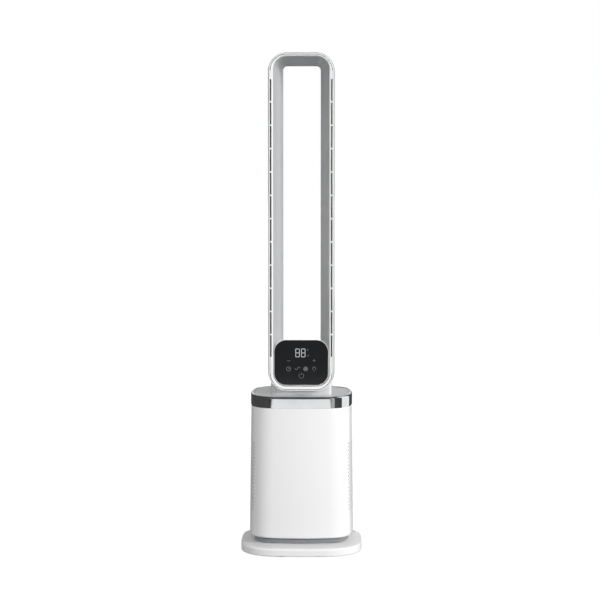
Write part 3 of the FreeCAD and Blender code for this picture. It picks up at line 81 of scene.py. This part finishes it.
def moulded_plastic(name, low, high, roughness, grain_mm, relief_mm, metallic=0.0):
    """Moulded or painted plastic: a fine grain shifts colour, gloss and relief a little."""
    material, tree, place = start_material(name)
    grain = add_node(
        tree, "ShaderNodeTexNoise", {"Scale": 1 / (grain_mm * MM), "Detail": 3.0}, {"Vector": place}
    )
    tint = add_node(tree, "ShaderNodeValToRGB", links={"Fac": grain.outputs["Fac"]})
    tint.color_ramp.elements[0].position = GRAIN_DARK
    tint.color_ramp.elements[0].color = linear(low)
    tint.color_ramp.elements[1].position = GRAIN_LIGHT
    tint.color_ramp.elements[1].color = linear(high)
    gloss = add_node(
        tree,
        "ShaderNodeMapRange",
        {"To Min": roughness - GLOSS_SWING, "To Max": roughness + GLOSS_SWING},
        {"Value": grain.outputs["Fac"]},
    )
    relief = add_node(
        tree,
        "ShaderNodeBump",
        {"Strength": RELIEF_STRENGTH, "Distance": relief_mm * MM},
        {"Height": grain.outputs["Fac"]},
    )
    shader = add_node(
        tree,
        "ShaderNodeBsdfPrincipled",
        {"IOR": PLASTIC_IOR, "Metallic": metallic},
        {
            "Base Color": tint.outputs["Color"],
            "Roughness": gloss.outputs["Result"],
            "Normal": relief.outputs["Normal"],
        },
    )
    add_node(tree, "ShaderNodeOutputMaterial", links={"Surface": shader.outputs["BSDF"]})
    return material


def dress(material, *names):
    """Gives CAD nodes their material."""
    for name in names:
        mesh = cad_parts[name].data
        mesh.materials.clear()
        mesh.materials.append(material)


# Real spark texture is about 0.1 mm; 1.5 mm is the finest that still shows.
satin_white = moulded_plastic(
    "satin_white_abs", "#EEEEEE", "#F2F2F2", roughness=0.34, grain_mm=1.5, relief_mm=0.02
)
dress(satin_white, "base_plate")

# Under cover, feet and power inlet
# A flat black ABS lid closes the base, held by four screws; four soft rubber pads are glued
# under it, and the round power socket sits in the back wall.

matt_black = moulded_plastic(
    "matt_black_abs", "#161617", "#1D1D1F", roughness=0.55, grain_mm=1.2, relief_mm=0.03
)
pad_rubber = moulded_plastic(
    "soft_black_rubber", "#141414", "#1C1B1B", roughness=0.8, grain_mm=0.9, relief_mm=0.06
)
dress(matt_black, "base_under_cover", "power_inlet")
dress(pad_rubber, "rubber_feet")

# Screws, spindle and other steel
# Zinc-plated and turned steel pieces: pale grey metal with a slightly uneven, cloudy gloss.
# The tower turns on the spindle; screws, magnets, motors and bearings are bought in.


def plated_steel():
    """Zinc coat whose clouds change both its grey and its gloss."""
    material, tree, place = start_material("zinc_plated_steel")
    cloud = add_node(
        tree, "ShaderNodeTexNoise", {"Scale": 1 / (3 * MM), "Detail": 4.0}, {"Vector": place}
    )
    gloss = add_node(
        tree,
        "ShaderNodeMapRange",
        {"To Min": 0.25, "To Max": 0.42},
        {"Value": cloud.outputs["Fac"]},
    )
    tint = add_node(tree, "ShaderNodeValToRGB", links={"Fac": cloud.outputs["Fac"]})
    tint.color_ramp.elements[0].color = linear("#A9ACB0")
    tint.color_ramp.elements[1].color = linear("#C6C8CA")
    shader = add_node(
        tree,
        "ShaderNodeBsdfPrincipled",
        {"Metallic": 1.0},
        {"Base Color": tint.outputs["Color"], "Roughness": gloss.outputs["Result"]},
    )
    add_node(tree, "ShaderNodeOutputMaterial", links={"Surface": shader.outputs["BSDF"]})
    return material


steel = plated_steel()
dress(steel, "base_screws", "swivel_spindle", "spindle_retainer", "plinth_screws", "swing_motor")
dress(steel, "cover_magnets", "strike_plates")
dress(steel, "motor", "motor_bearings", "motor_shaft", "impeller_nut")

# Swing gears and thrust ring
# Undyed acetal, moulded: waxy off-white, with low gloss and no grain to speak of.
# The gear is fixed to the base, the pinion to the swing motor; the tower slides on the ring.

acetal = moulded_plastic(
    "undyed_acetal", "#E4E1D6", "#EAE7DD", roughness=0.42, grain_mm=2.0, relief_mm=0.01
)
dress(acetal, "fixed_gear", "thrust_ring", "swing_pinion")

# Plinth and chassis
# The turntable and the inner frame are mid-grey ABS, left as they come from the mould.
# Screws from below hold the two together, and the frame carries the filter and the blower.

plinth_grey = moulded_plastic(
    "grey_abs", "#7E7F81", "#858688", roughness=0.45, grain_mm=1.5, relief_mm=0.03
)
dress(plinth_grey, "plinth", "chassis")

# Boards
# Glass-fibre circuit boards under green solder mask: smooth, with faint copper shapes below it.
# Black components stand on the main one, and rubber pillars bridge the other to the glass.


def circuit_board():
    """Solder mask, paler along the lines where copper lies under it."""
    material, tree, place = start_material("green_solder_mask")
    tracks = add_node(
        tree,
        "ShaderNodeTexVoronoi",
        {"Scale": 1 / (5 * MM), "feature": "DISTANCE_TO_EDGE"},
        {"Vector": place},
    )
    tint = add_node(tree, "ShaderNodeValToRGB", links={"Fac": tracks.outputs["Distance"]})
    tint.color_ramp.elements[0].position = 0.06
    tint.color_ramp.elements[0].color = linear("#2E6B45")
    tint.color_ramp.elements[1].position = 0.09
    tint.color_ramp.elements[1].color = linear("#174A2B")
    shader = add_node(
        tree,
        "ShaderNodeBsdfPrincipled",
        {"IOR": 1.5, "Roughness": 0.3},
        {"Base Color": tint.outputs["Color"]},
    )
    add_node(tree, "ShaderNodeOutputMaterial", links={"Surface": shader.outputs["BSDF"]})
    return material


dress(circuit_board(), "main_board", "display_board")
dress(matt_black, "board_parts", "digit_display")
dress(pad_rubber, "touch_pillars")

# Blower
# Black glass-filled nylon duct, impeller and stator: dull, with a slightly mottled skin.
# They are moulded, and a soft rubber ring keeps their hum from the frame.

filled_nylon = moulded_plastic(
    "glass_filled_nylon", "#1B1C1E", "#26272A", roughness=0.5, grain_mm=2.5, relief_mm=0.05
)
dress(filled_nylon, "blower_duct", "inlet_bellmouth", "stator", "hub_fairing", "impeller")
dress(pad_rubber, "blower_isolator", "neck_gasket")

# Filter cartridge
# Pleated white paper between black caps, with a soft seal on top and a woven pull tab.
# The paper is folded round an open core and glued into both caps.


def filter_paper():
    """Glass-fibre paper: matt, off-white, with long pale fibres."""
    material, tree, place = start_material("pleated_filter_paper")
    stretch = add_node(tree, "ShaderNodeMapping", {"Scale": (1.0, 1.0, 0.15)}, {"Vector": place})
    fibres = add_node(
        tree, "ShaderNodeTexNoise", {"Scale": 1 / (0.8 * MM)}, {"Vector": stretch.outputs["Vector"]}
    )
    tint = add_node(tree, "ShaderNodeValToRGB", links={"Fac": fibres.outputs["Fac"]})
    tint.color_ramp.elements[0].color = linear("#D9D6CC")
    tint.color_ramp.elements[1].color = linear("#F0EEE7")
    shader = add_node(
        tree,
        "ShaderNodeBsdfPrincipled",
        {"IOR": 1.5, "Roughness": 0.9},
        {"Base Color": tint.outputs["Color"]},
    )
    add_node(tree, "ShaderNodeOutputMaterial", links={"Surface": shader.outputs["BSDF"]})
    return material


dress(filter_paper(), "filter_pleats")
dress(matt_black, "filter_bottom_cap", "filter_top_cap", "filter_core")
dress(pad_rubber, "filter_seal")
pull_tape = moulded_plastic(
    "woven_tape", "#2A2B2E", "#4A4B50", roughness=0.85, grain_mm=1.0, relief_mm=0.2
)
dress(pull_tape, "filter_tab")

# Body shells
# Front shell and rear cover are white ABS with the same satin skin as the base; the rear one
# is held by magnets, so only a fine seam shows on each side.

dress(satin_white, "front_shell", "rear_cover")

# Intake grilles
# Perforated white ABS panels in both shells. The skin has the same satin as the shell; the
# holes' walls get a grey that is painted shade, standing for the shade inside each hole.

GRILLES = ("front_right_grille", "front_left_grille", "rear_right_grille", "rear_left_grille")
SKIN_FACING = 0.6


def is_hole_wall(face):
    """A hole's wall faces along the body's side, where the skin faces away from it."""
    outward = Vector((face.center.x, face.center.y, 0)).normalized()
    return abs(face.normal.dot(outward)) < SKIN_FACING


# Painted shade: a mid grey for the hole walls, in place of the shade deep in the holes.
hole_shade_grey = moulded_plastic(
    "painted_hole_shade_grey", "#A2A3A4", "#AEAFB0", roughness=0.6, grain_mm=1.0, relief_mm=0.01
)
dress(satin_white, *GRILLES)
for name in GRILLES:
    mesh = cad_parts[name].data
    mesh.materials.append(hole_shade_grey)
    for face in mesh.polygons:
        face.material_index = 1 if is_hole_wall(face) else 0

# Chrome band
# ABS plated with bright chrome: a clean mirror that draws the studio as dark and light bars.
# The ring closes the top of the body and frames the deck.


def bright_chrome():
    """Mirror with a faint, wide haze in its gloss."""
    material, tree, place = start_material("bright_chrome_plate")
    haze = add_node(
        tree, "ShaderNodeTexNoise", {"Scale": 1 / (25 * MM), "Detail": 2.0}, {"Vector": place}
    )
    gloss = add_node(
        tree, "ShaderNodeMapRange", {"To Min": 0.05, "To Max": 0.1}, {"Value": haze.outputs["Fac"]}
    )
    shader = add_node(
        tree,
        "ShaderNodeBsdfPrincipled",
        {"Metallic": 1.0, "Base Color": linear("#DCDDDE")},
        {"Roughness": gloss.outputs["Result"]},
    )
    add_node(tree, "ShaderNodeOutputMaterial", links={"Surface": shader.outputs["BSDF"]})
    return material


dress(bright_chrome(), "chrome_band")

# Deck and neck
# ABS sprayed silver grey: a thin coat with fine metal flake, so it stays soft but not flat.
# The collar that carries the loop has the same coat.

silver_paint = moulded_plastic(
    "silver_grey_paint",
    "#DCDDDF",
    "#E4E5E7",
    roughness=0.3,
    grain_mm=1.2,
    relief_mm=0.01,
    metallic=0.4,
)
dress(silver_paint, "deck_plate", "neck_collar")

# Loop and control pod
# White ABS again, but from a polished mould: the loop, its front rim and the pod have a
# clearer gloss than the body. The groove round the rim's corners is coloured near black, as painted
# shade.

gloss_white = moulded_plastic(
    "polished_white_abs", "#F0F0F0", "#F3F3F3", roughness=0.24, grain_mm=4.0, relief_mm=0.01
)
dress(gloss_white, "loop_outer_shell", "loop_front_frame", "control_pod")

# Painted shade: the groove's floor is coloured near black to stand for the shade in the groove.
groove_shade = moulded_plastic(
    "painted_groove_shade", "#1E1F21", "#28292B", roughness=0.7, grain_mm=1.0, relief_mm=0.01
)
FACING_FRONT = -0.9
GROOVE_DEEPER_THAN, GROOVE_REACH = 1.0 * MM, 2.0 * MM
RIM_CORNER = 32.7 * MM  # radius of the rim's outer corners
rim_low, rim_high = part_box("loop_front_frame")


def is_groove_floor(face):
    """The groove's floor lies sunk close to the outer edge, past the ends of the sides."""
    x, y, z = face.center
    past_x = max(0, abs(x) - (rim_high.x - RIM_CORNER))
    past_z = max(0, z - (rim_high.z - RIM_CORNER), rim_low.z + RIM_CORNER - z)
    at_edge = RIM_CORNER - math.hypot(past_x, past_z) < GROOVE_REACH
    is_floor = y > rim_low.y + GROOVE_DEEPER_THAN and face.normal.y < FACING_FRONT
    return past_z > 0 and at_edge and is_floor


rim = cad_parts["loop_front_frame"].data
rim.materials.append(groove_shade)
for face in rim.polygons:
    face.material_index = 1 if is_groove_floor(face) else 0

# Loop liner and pod tray
# The inner side of the loop is white ABS with a dull skin, coloured greyer than the outer shell
# as painted shade for the inside of the loop; the tray carries it on behind the control pod.

# Painted shade: the grey in this white stands for the shade inside the loop.
shade_greyed_white = moulded_plastic(
    "shade_greyed_white_abs", "#D7D8D9", "#DDDEDF", roughness=0.5, grain_mm=2.0, relief_mm=0.02
)
dress(shade_greyed_white, "loop_liner", "pod_tray")

# Slot shade blocks
# A row of short black nylon blocks lies just inside the slots of the rim, one to each slot; they
# are painted shade, dark filler that makes the slots dark in place of the shade inside them.

SLOT_COUNT, SLOT_PITCH, SLOT_LENGTH, SLOT_WIDTH = 12, 46.4 * MM, 43.4 * MM, 3.0 * MM
SLOT_INSET = 1.4 * MM
FIRST_SLOT_RISE = 88.1 * MM
SHADE_SET_BACK, SHADE_DEPTH = 1.3 * MM, 5.0 * MM


def slot_shade_tree():
    """Rows of dark blocks that paint the slots' shade: two upright lines of points, a block on each
    point.
    """
    tree = bpy.data.node_groups.new("slot_shade_blocks", "GeometryNodeTree")
    tree.interface.new_socket("Geometry", in_out="OUTPUT", socket_type="NodeSocketGeometry")
    sizes = {
        "Slots": "Int",
        "Pitch": "Float",
        "Half Span": "Float",
        "Depth": "Float",
        "First": "Float",
        "Block": "Vector",
        "Finish": "Material",
    }
    for name, kind in sizes.items():
        tree.interface.new_socket(name, in_out="INPUT", socket_type=f"NodeSocket{kind}")
    given = add_node(tree, "NodeGroupInput").outputs
    step = add_node(tree, "ShaderNodeCombineXYZ", links={"Z": given["Pitch"]})
    block = add_node(tree, "GeometryNodeMeshCube", links={"Size": given["Block"]})
    rows = add_node(tree, "GeometryNodeJoinGeometry")
    for side in (-1.0, 1.0):
        across = add_node(tree, "ShaderNodeMath", {"operation": "MULTIPLY"})
        across.inputs[1].default_value = side
        tree.links.new(given["Half Span"], across.inputs[0])
        start = add_node(
            tree,
            "ShaderNodeCombineXYZ",
            links={"X": across.outputs["Value"], "Y": given["Depth"], "Z": given["First"]},
        )
        line = add_node(
            tree,
            "GeometryNodeMeshLine",
            links={
                "Count": given["Slots"],
                "Start Location": start.outputs["Vector"],
                "Offset": step.outputs["Vector"],
            },
        )
        tree.links.new(line.outputs["Mesh"], rows.inputs["Geometry"])
    placed = add_node(
        tree,
        "GeometryNodeInstanceOnPoints",
        links={"Points": rows.outputs["Geometry"], "Instance": block.outputs["Mesh"]},
    )
    real = add_node(
        tree, "GeometryNodeRealizeInstances", links={"Geometry": placed.outputs["Instances"]}
    )
    finished = add_node(
        tree,
        "GeometryNodeSetMaterial",
        links={"Geometry": real.outputs["Geometry"], "Material": given["Finish"]},
    )
    add_node(tree, "NodeGroupOutput", links={"Geometry": finished.outputs["Geometry"]})
    return tree


def grown(name, tree, inputs):
    """Runs a Geometry Nodes tree on an empty mesh and keeps the result as a plain mesh."""
    holder = bpy.data.objects.new(name, bpy.data.meshes.new(name))
    bpy.context.scene.collection.objects.link(holder)
    modifier = holder.modifiers.new("nodes", "NODES")
    modifier.node_group = tree
    for socket in tree.interface.items_tree:
        if socket.in_out == "INPUT":
            modifier[socket.identifier] = inputs[socket.name]
    bpy.context.view_layer.update()
    evaluated = holder.evaluated_get(bpy.context.evaluated_depsgraph_get())
    mesh = bpy.data.meshes.new_from_object(evaluated)
    holder.modifiers.remove(modifier)
    holder.data = mesh
    return holder


# Painted shade: these dark blocks stand for the shade inside the slots.
slot_shades = grown(
    "slot_shade_blocks",
    slot_shade_tree(),
    {
        "Slots": SLOT_COUNT,
        "Pitch": SLOT_PITCH,
        "Half Span": rim_high.x - SLOT_INSET,
        "Depth": rim_low.y + SHADE_SET_BACK + SHADE_DEPTH / 2,
        "First": rim_low.z + FIRST_SLOT_RISE,
        "Block": (SLOT_WIDTH, SHADE_DEPTH, SLOT_LENGTH),
        "Finish": filled_nylon,
    },
)
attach(slot_shades, "tower")

# Touch panel
# Black-backed tempered glass: a dark, even mirror with the faintest smear in its gloss.
# It is ground to the pod's rounded outline and glued into its bezel.


def black_glass():
    """Dark glass, with a smear that only its gloss shows."""
    material, tree, place = start_material("black_backed_glass")
    smear = add_node(
        tree, "ShaderNodeTexNoise", {"Scale": 1 / (18 * MM), "Detail": 2.0}, {"Vector": place}
    )
    gloss = add_node(
        tree,
        "ShaderNodeMapRange",
        {"To Min": 0.05, "To Max": 0.12},
        {"Value": smear.outputs["Fac"]},
    )
    shader = add_node(
        tree,
        "ShaderNodeBsdfPrincipled",
        {"Base Color": linear("#1E1F21"), "IOR": 1.5},
        {"Roughness": gloss.outputs["Result"]},
    )
    add_node(tree, "ShaderNodeOutputMaterial", links={"Surface": shader.outputs["BSDF"]})
    return material


dress(black_glass(), "panel_glass")

# Lit digits and icons
# Light-emitting digits and key icons shine through the glass. They are drawn as thin flat
# strokes just in front of it, sized in millimetres: two bright digits, then dimmer keys.

STROKE_LIFT = 0.06 * MM
GLOW_SWING = 0.15
glass_low, glass_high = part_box("panel_glass")
panel_x = (glass_low.x + glass_high.x) / 2
panel_z = (glass_low.z + glass_high.z) / 2
panel_y = glass_low.y - STROKE_LIFT


def light_source(name, colour, strength):
    """Glow through the glass, a little uneven along each stroke."""
    material, tree, place = start_material(name)
    spread = add_node(tree, "ShaderNodeTexNoise", {"Scale": 1 / (2 * MM)}, {"Vector": place})
    level = add_node(
        tree,
        "ShaderNodeMapRange",
        {"To Min": (1 - GLOW_SWING) * strength, "To Max": (1 + GLOW_SWING) * strength},
        {"Value": spread.outputs["Fac"]},
    )
    shader = add_node(
        tree,
        "ShaderNodeBsdfPrincipled",
        {"Base Color": linear("#2A2B2D"), "Emission Color": linear(colour), "Roughness": 0.3},
        {"Emission Strength": level.outputs["Result"]},
    )
    add_node(tree, "ShaderNodeOutputMaterial", links={"Surface": shader.outputs["BSDF"]})
    return material


def panel_point(x, z):
    """Point on the panel's face, in millimetres from its centre."""
    return Vector((panel_x + x * MM, panel_y, panel_z + z * MM))


def beside(point, x, z):
    """Point at an offset from another one."""
    return (point[0] + x, point[1] + z)


def add_stroke(mesh, start, end, width):
    """Straight stroke with pointed ends, as in a segment display."""
    a, b = Vector(start), Vector(end)
    along = (b - a).normalized() * width / 2
    side = Vector((-along.y, along.x))
    outline = [a, a + along + side, b - along + side, b, b - along - side, a + along - side]
    mesh.faces.new([mesh.verts.new(panel_point(*p)) for p in outline])


def add_ring(mesh, centre, radius, width, start=0, sweep=360, steps=28):
    """Ring or part of one; angles in degrees, anticlockwise from the right."""
    count = max(4, round(steps * sweep / 360))
    pairs = []
    for i in range(count + 1):
        angle = math.radians(start + sweep * i / count)
        reach = Vector((math.cos(angle), math.sin(angle)))
        rim = [Vector(centre) + reach * (radius + side * width / 2) for side in (-1, 1)]
        pairs.append([mesh.verts.new(panel_point(*p)) for p in rim])
    for near, far in zip(pairs, pairs[1:]):
        mesh.faces.new([near[0], near[1], far[1], far[0]])


def finish_lights(mesh, name, material):
    """Turns the strokes to the front and makes them one piece on the tower."""
    for face in mesh.faces:
        face.normal_update()
        if face.normal.y > 0:
            face.normal_flip()
    data = bpy.data.meshes.new(name)
    mesh.to_mesh(data)
    mesh.free()
    data.materials.append(material)
    piece = bpy.data.objects.new(name, data)
    bpy.context.scene.collection.objects.link(piece)
    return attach(piece, "tower")


DIGIT_WIDTH, DIGIT_HEIGHT, DIGIT_STROKE = 7.4, 16.0, 1.2
DIGIT_Z, DIGIT_X = 19.6, (-7.2, 4.2)
DIGIT_GLOW = 0.6
half_height = DIGIT_HEIGHT / 2
digits = bmesh.new()
for centre_x in DIGIT_X:
    left, right = centre_x - DIGIT_WIDTH / 2, centre_x + DIGIT_WIDTH / 2
    for level in (-half_height, 0, half_height):
        add_stroke(digits, (left, DIGIT_Z + level), (right, DIGIT_Z + level), DIGIT_STROKE)
    for side in (left, right):
        for low in (DIGIT_Z - half_height, DIGIT_Z):
            add_stroke(digits, (side, low), (side, low + half_height), DIGIT_STROKE)
finish_lights(digits, "lit_digits", light_source("white_display_light", "#F2F6FA", DIGIT_GLOW))

KEY_SPACING, KEY_X, KEY_Z, KEY_SIZE, KEY_STROKE = 17.1, 0.45, -12.6, 4.2, 1.0
KEY_GLOW = 0.145
LONG_HAND, SHORT_HAND = 0.7 * KEY_SIZE, 0.6 * KEY_SIZE
WAVE_RISE, TROUGH_X, TROUGH_RADIUS, CREST_X, CREST_RADIUS = 1.2, -1.6, 2.6, 3.4, 2.4
BLADE_COUNT, BLADE_REACH, BLADE_RADIUS, BLADE_STROKE = 3, 2.1, 1.0, 1.9
BULB_RISE, BULB_RADIUS, CAP_HALF, CAP_DROP = 0.8, 0.75 * KEY_SIZE, 1.4, 4.2
MINUS_LEFT, MINUS_RIGHT, MINUS_Z = -28.6, -21.8, 3.6
PLUS_AT, PLUS_HALF = (26.0, 4.2), 3.2
keys = bmesh.new()
timer, breeze, speed, bulb = [(KEY_X + (i - 1.5) * KEY_SPACING, KEY_Z) for i in range(4)]
add_ring(keys, timer, KEY_SIZE, KEY_STROKE)
add_stroke(keys, timer, beside(timer, 0, LONG_HAND), KEY_STROKE)
add_stroke(keys, timer, beside(timer, SHORT_HAND, 0), KEY_STROKE)
trough, crest = beside(breeze, TROUGH_X, WAVE_RISE), beside(breeze, CREST_X, WAVE_RISE)
add_ring(keys, trough, TROUGH_RADIUS, KEY_STROKE, start=180, sweep=180)
add_ring(keys, crest, CREST_RADIUS, KEY_STROKE, start=0, sweep=180)
add_ring(keys, speed, KEY_SIZE, KEY_STROKE)
for turn in range(BLADE_COUNT):
    angle = math.radians(90 + 360 / BLADE_COUNT * turn)
    blade = beside(speed, BLADE_REACH * math.cos(angle), BLADE_REACH * math.sin(angle))
    add_ring(keys, blade, BLADE_RADIUS, BLADE_STROKE)
add_ring(keys, beside(bulb, 0, BULB_RISE), BULB_RADIUS, KEY_STROKE, start=-60, sweep=300)
cap_ends = [beside(bulb, side * CAP_HALF, -CAP_DROP) for side in (-1, 1)]
add_stroke(keys, *cap_ends, KEY_STROKE)
add_stroke(keys, (MINUS_LEFT, MINUS_Z), (MINUS_RIGHT, MINUS_Z), KEY_STROKE)
add_stroke(keys, beside(PLUS_AT, -PLUS_HALF, 0), beside(PLUS_AT, PLUS_HALF, 0), KEY_STROKE)
add_stroke(keys, beside(PLUS_AT, 0, -PLUS_HALF), beside(PLUS_AT, 0, PLUS_HALF), KEY_STROKE)
finish_lights(keys, "lit_key_icons", light_source("dim_key_light", "#E4E8EC", KEY_GLOW))

POWER_AT, POWER_RADIUS, POWER_BAR = (0.5, -26.3), 4.8, (1.5, 6.2)
DEGREE_AT, DEGREE_RADIUS = (12.7, 25.7), 1.1
UNIT_DOT_AT, UNIT_DOT_RADIUS, DOT_STROKE = (13.7, 13.8), 1.0, 0.8
UNIT_BAR, UNIT_BAR_STROKE = ((11.6, 12.2), (15.6, 16.2)), 0.7
MARK_GLOW = 0.12
marks = bmesh.new()
add_ring(marks, POWER_AT, POWER_RADIUS, KEY_STROKE, start=120, sweep=300)
add_stroke(marks, *[beside(POWER_AT, 0, rise) for rise in POWER_BAR], KEY_STROKE)
add_ring(marks, DEGREE_AT, DEGREE_RADIUS, DOT_STROKE)
add_ring(marks, UNIT_DOT_AT, UNIT_DOT_RADIUS, DOT_STROKE)
add_stroke(marks, *UNIT_BAR, UNIT_BAR_STROKE)
finish_lights(marks, "lit_marks", light_source("soft_mark_light", "#E4E8EC", MARK_GLOW))

# Studio
# A plain white floor and background, soft lamps on all four sides with the strongest at the
# front right, and cards that only mirrors see: dark, grey and white bars for the chrome and
# the glossy white.


def stage_plane(name, material, corners):
    """Flat four-cornered sheet that belongs to the studio and not to the part."""
    data = bpy.data.meshes.new(name)
    data.from_pydata([Vector(c) for c in corners], [], [(0, 1, 2, 3)])
    data.materials.append(material)
    plane = bpy.data.objects.new(name, data)
    bpy.context.scene.collection.objects.link(plane)
    return plane


def glowing_sheet(name, colour, roughness, glow):
    """Matt backdrop paper that is lit evenly by itself."""
    material, tree, _ = start_material(name)
    shader = add_node(
        tree,
        "ShaderNodeBsdfPrincipled",
        {
            "Base Color": linear(colour),
            "Roughness": roughness,
            "Emission Color": linear("#FFFFFF"),
            "Emission Strength": glow,
        },
    )
    add_node(tree, "ShaderNodeOutputMaterial", links={"Surface": shader.outputs["BSDF"]})
    return material


def level_corners(x_low, x_high, y_low, y_high, z):
    """Corners of a level sheet."""
    return [(x_low, y_low, z), (x_high, y_low, z), (x_high, y_high, z), (x_low, y_high, z)]


FLOOR_REACH = 30.0
floor = stage_plane(
    "floor",
    glowing_sheet("pale_studio_floor", "#303030", roughness=0.9, glow=1.0),
    level_corners(-FLOOR_REACH, FLOOR_REACH, -FLOOR_REACH, FLOOR_REACH, 0),
)
floor.visible_diffuse = False
floor.visible_glossy = False

# Upright cards stand on a circle; their spans are in degrees from the front, to the right.
CARD_DISTANCE, CARD_LOW, CARD_HIGH = 1.6, -0.5, 2.6
DARK_SPANS = [(-40, -80), (-80, -120), (-120, -165), (46, 64), (64, 82), (138, 165)]
GREY_SPAN, WHITE_SPAN = (32, 46), (82, 138)
BACK_CARD_HALF, BACK_CARD_Y, BACK_CARD_LOW, BACK_CARD_HIGH = 1.0, 1.6, 0.4, 0.68
CEILING_HALF, CEILING_FRONT, CEILING_BACK = 2.0, -2.6, 0.2
LOW_CARD_HALF, LOW_CARD_REST = 1.2, 10 * MM
FAR_EDGE, FRONT_EDGE, NEAR_EDGE = -7.0, -2.8, -0.5
CARD_GLOWS = {"dark_card": 0.06, "grey_card": 0.5, "white_card": 1.08, "pale_card": 0.75}


def card_edge(degrees):
    """Place on the cards' circle."""
    angle = math.radians(degrees)
    return (CARD_DISTANCE * math.sin(angle), -CARD_DISTANCE * math.cos(angle))


def upright_corners(start, end, low=CARD_LOW, high=CARD_HIGH):
    """Corners of an upright card between two places."""
    return [(*start, low), (*end, low), (*end, high), (*start, high)]


def mirror_card(name, material, corners):
    """Card that only shows as a reflection."""
    card = stage_plane(name, material, corners)
    card.visible_camera = False
    card.visible_diffuse = False
    card.visible_shadow = False


dark, grey, white, pale = [
    glowing_sheet(name, "#101010", roughness=1.0, glow=glow) for name, glow in CARD_GLOWS.items()
]
ceiling = level_corners(-CEILING_HALF, CEILING_HALF, CEILING_FRONT, CEILING_BACK, CARD_HIGH)
far_floor = level_corners(-LOW_CARD_HALF, LOW_CARD_HALF, FAR_EDGE, FRONT_EDGE, LOW_CARD_REST)
near_floor = level_corners(-LOW_CARD_HALF, LOW_CARD_HALF, FRONT_EDGE, NEAR_EDGE, LOW_CARD_REST)
back_ends = [(side * BACK_CARD_HALF, BACK_CARD_Y) for side in (-1, 1)]
mirror_card("ceiling_card", dark, ceiling)
mirror_card("front_card", dark, far_floor)
mirror_card("near_card", white, near_floor)
mirror_card("back_card", pale, upright_corners(*back_ends, BACK_CARD_LOW, BACK_CARD_HIGH))
mirror_card("right_grey_card", grey, upright_corners(*map(card_edge, GREY_SPAN)))
mirror_card("right_white_card", white, upright_corners(*map(card_edge, WHITE_SPAN)))
for number, span in enumerate(DARK_SPANS):
    mirror_card(f"side_card_{number}", dark, upright_corners(*map(card_edge, span)))

LAMP_TARGET = Vector((0, 0, 0.5))
LAMPS = [
    ("front_lamp", (0.2, -5.5, 1.15), 2.0, 1.2, 80),
    ("key_lamp", (3.45, -4.2, 2.2), 1.8, 1.5, 284),
    ("right_lamp", (2.07, 0.75, 0.7), 1.6, 1.4, 19),
    ("left_lamp", (-4.0, 0.1, 0.8), 1.8, 1.4, 70),
    ("back_lamp", (0, 4.5, 1.0), 2.0, 1.2, 90),
]


def soft_lamp(name, place, width, height, power):
    """Broad lamp aimed at the body, which neither the camera nor a mirror sees."""
    data = bpy.data.lights.new(name, "AREA")
    data.shape = "RECTANGLE"
    data.size, data.size_y = width, height
    data.energy = power
    lamp = bpy.data.objects.new(name, data)
    bpy.context.scene.collection.objects.link(lamp)
    lamp.location = place
    lamp.rotation_euler = (LAMP_TARGET - Vector(place)).to_track_quat("-Z", "Y").to_euler()
    lamp.visible_camera = False
    lamp.visible_glossy = False


for lamp_sizes in LAMPS:
    soft_lamp(*lamp_sizes)

# The air brightens upwards from just below the horizon; the camera sees plain white.
AIR_FROM, AIR_TO = -0.1, 0.3
AIR_DIM, AIR_BRIGHT = 0.04, 0.15
world = bpy.data.worlds.new("studio_air")
bpy.context.scene.world = world
world.use_nodes = True
air_tree = world.node_tree
air_tree.nodes.clear()
path = add_node(air_tree, "ShaderNodeLightPath")
ray = add_node(air_tree, "ShaderNodeTexCoord")
heading = add_node(air_tree, "ShaderNodeSeparateXYZ", links={"Vector": ray.outputs["Generated"]})
grade = add_node(
    air_tree,
    "ShaderNodeMapRange",
    {"From Min": AIR_FROM, "From Max": AIR_TO, "To Min": AIR_DIM, "To Max": AIR_BRIGHT},
    {"Value": heading.outputs["Z"]},
)
pure_white = {"Color": linear("#FFFFFF")}
air = add_node(air_tree, "ShaderNodeBackground", pure_white, {"Strength": grade.outputs["Result"]})
sky = add_node(air_tree, "ShaderNodeBackground", {**pure_white, "Strength": 1.0})
both = add_node(air_tree, "ShaderNodeMixShader", links={"Fac": path.outputs["Is Camera Ray"]})
air_tree.links.new(air.outputs["Background"], both.inputs[1])
air_tree.links.new(sky.outputs["Background"], both.inputs[2])
add_node(air_tree, "ShaderNodeOutputWorld", links={"Surface": both.outputs["Shader"]})
bpy.context.scene.view_settings.view_transform = "Standard"

# Camera
# About four metres away and a little above the loop's middle, nearly straight in front. A long
# lens keeps the tower's sides almost parallel.

CAMERA_DISTANCE, CAMERA_HEIGHT = 3.96, 0.791
CAMERA_TURN, CAMERA_PITCH, CAMERA_AIM = 0.7, 4.106, 0.047
camera_data = bpy.data.cameras.new("camera")
camera_data.sensor_width = 36.0
camera_data.lens = 117.0
camera = bpy.data.objects.new("camera", camera_data)
bpy.context.scene.collection.objects.link(camera)
turn = math.radians(CAMERA_TURN)
camera.location = (
    CAMERA_DISTANCE * math.sin(turn),
    -CAMERA_DISTANCE * math.cos(turn),
    CAMERA_HEIGHT,
)
camera.rotation_euler = (
    math.radians(90 - CAMERA_PITCH),
    0,
    math.radians(CAMERA_TURN + CAMERA_AIM),
)
bpy.context.scene.camera = camera
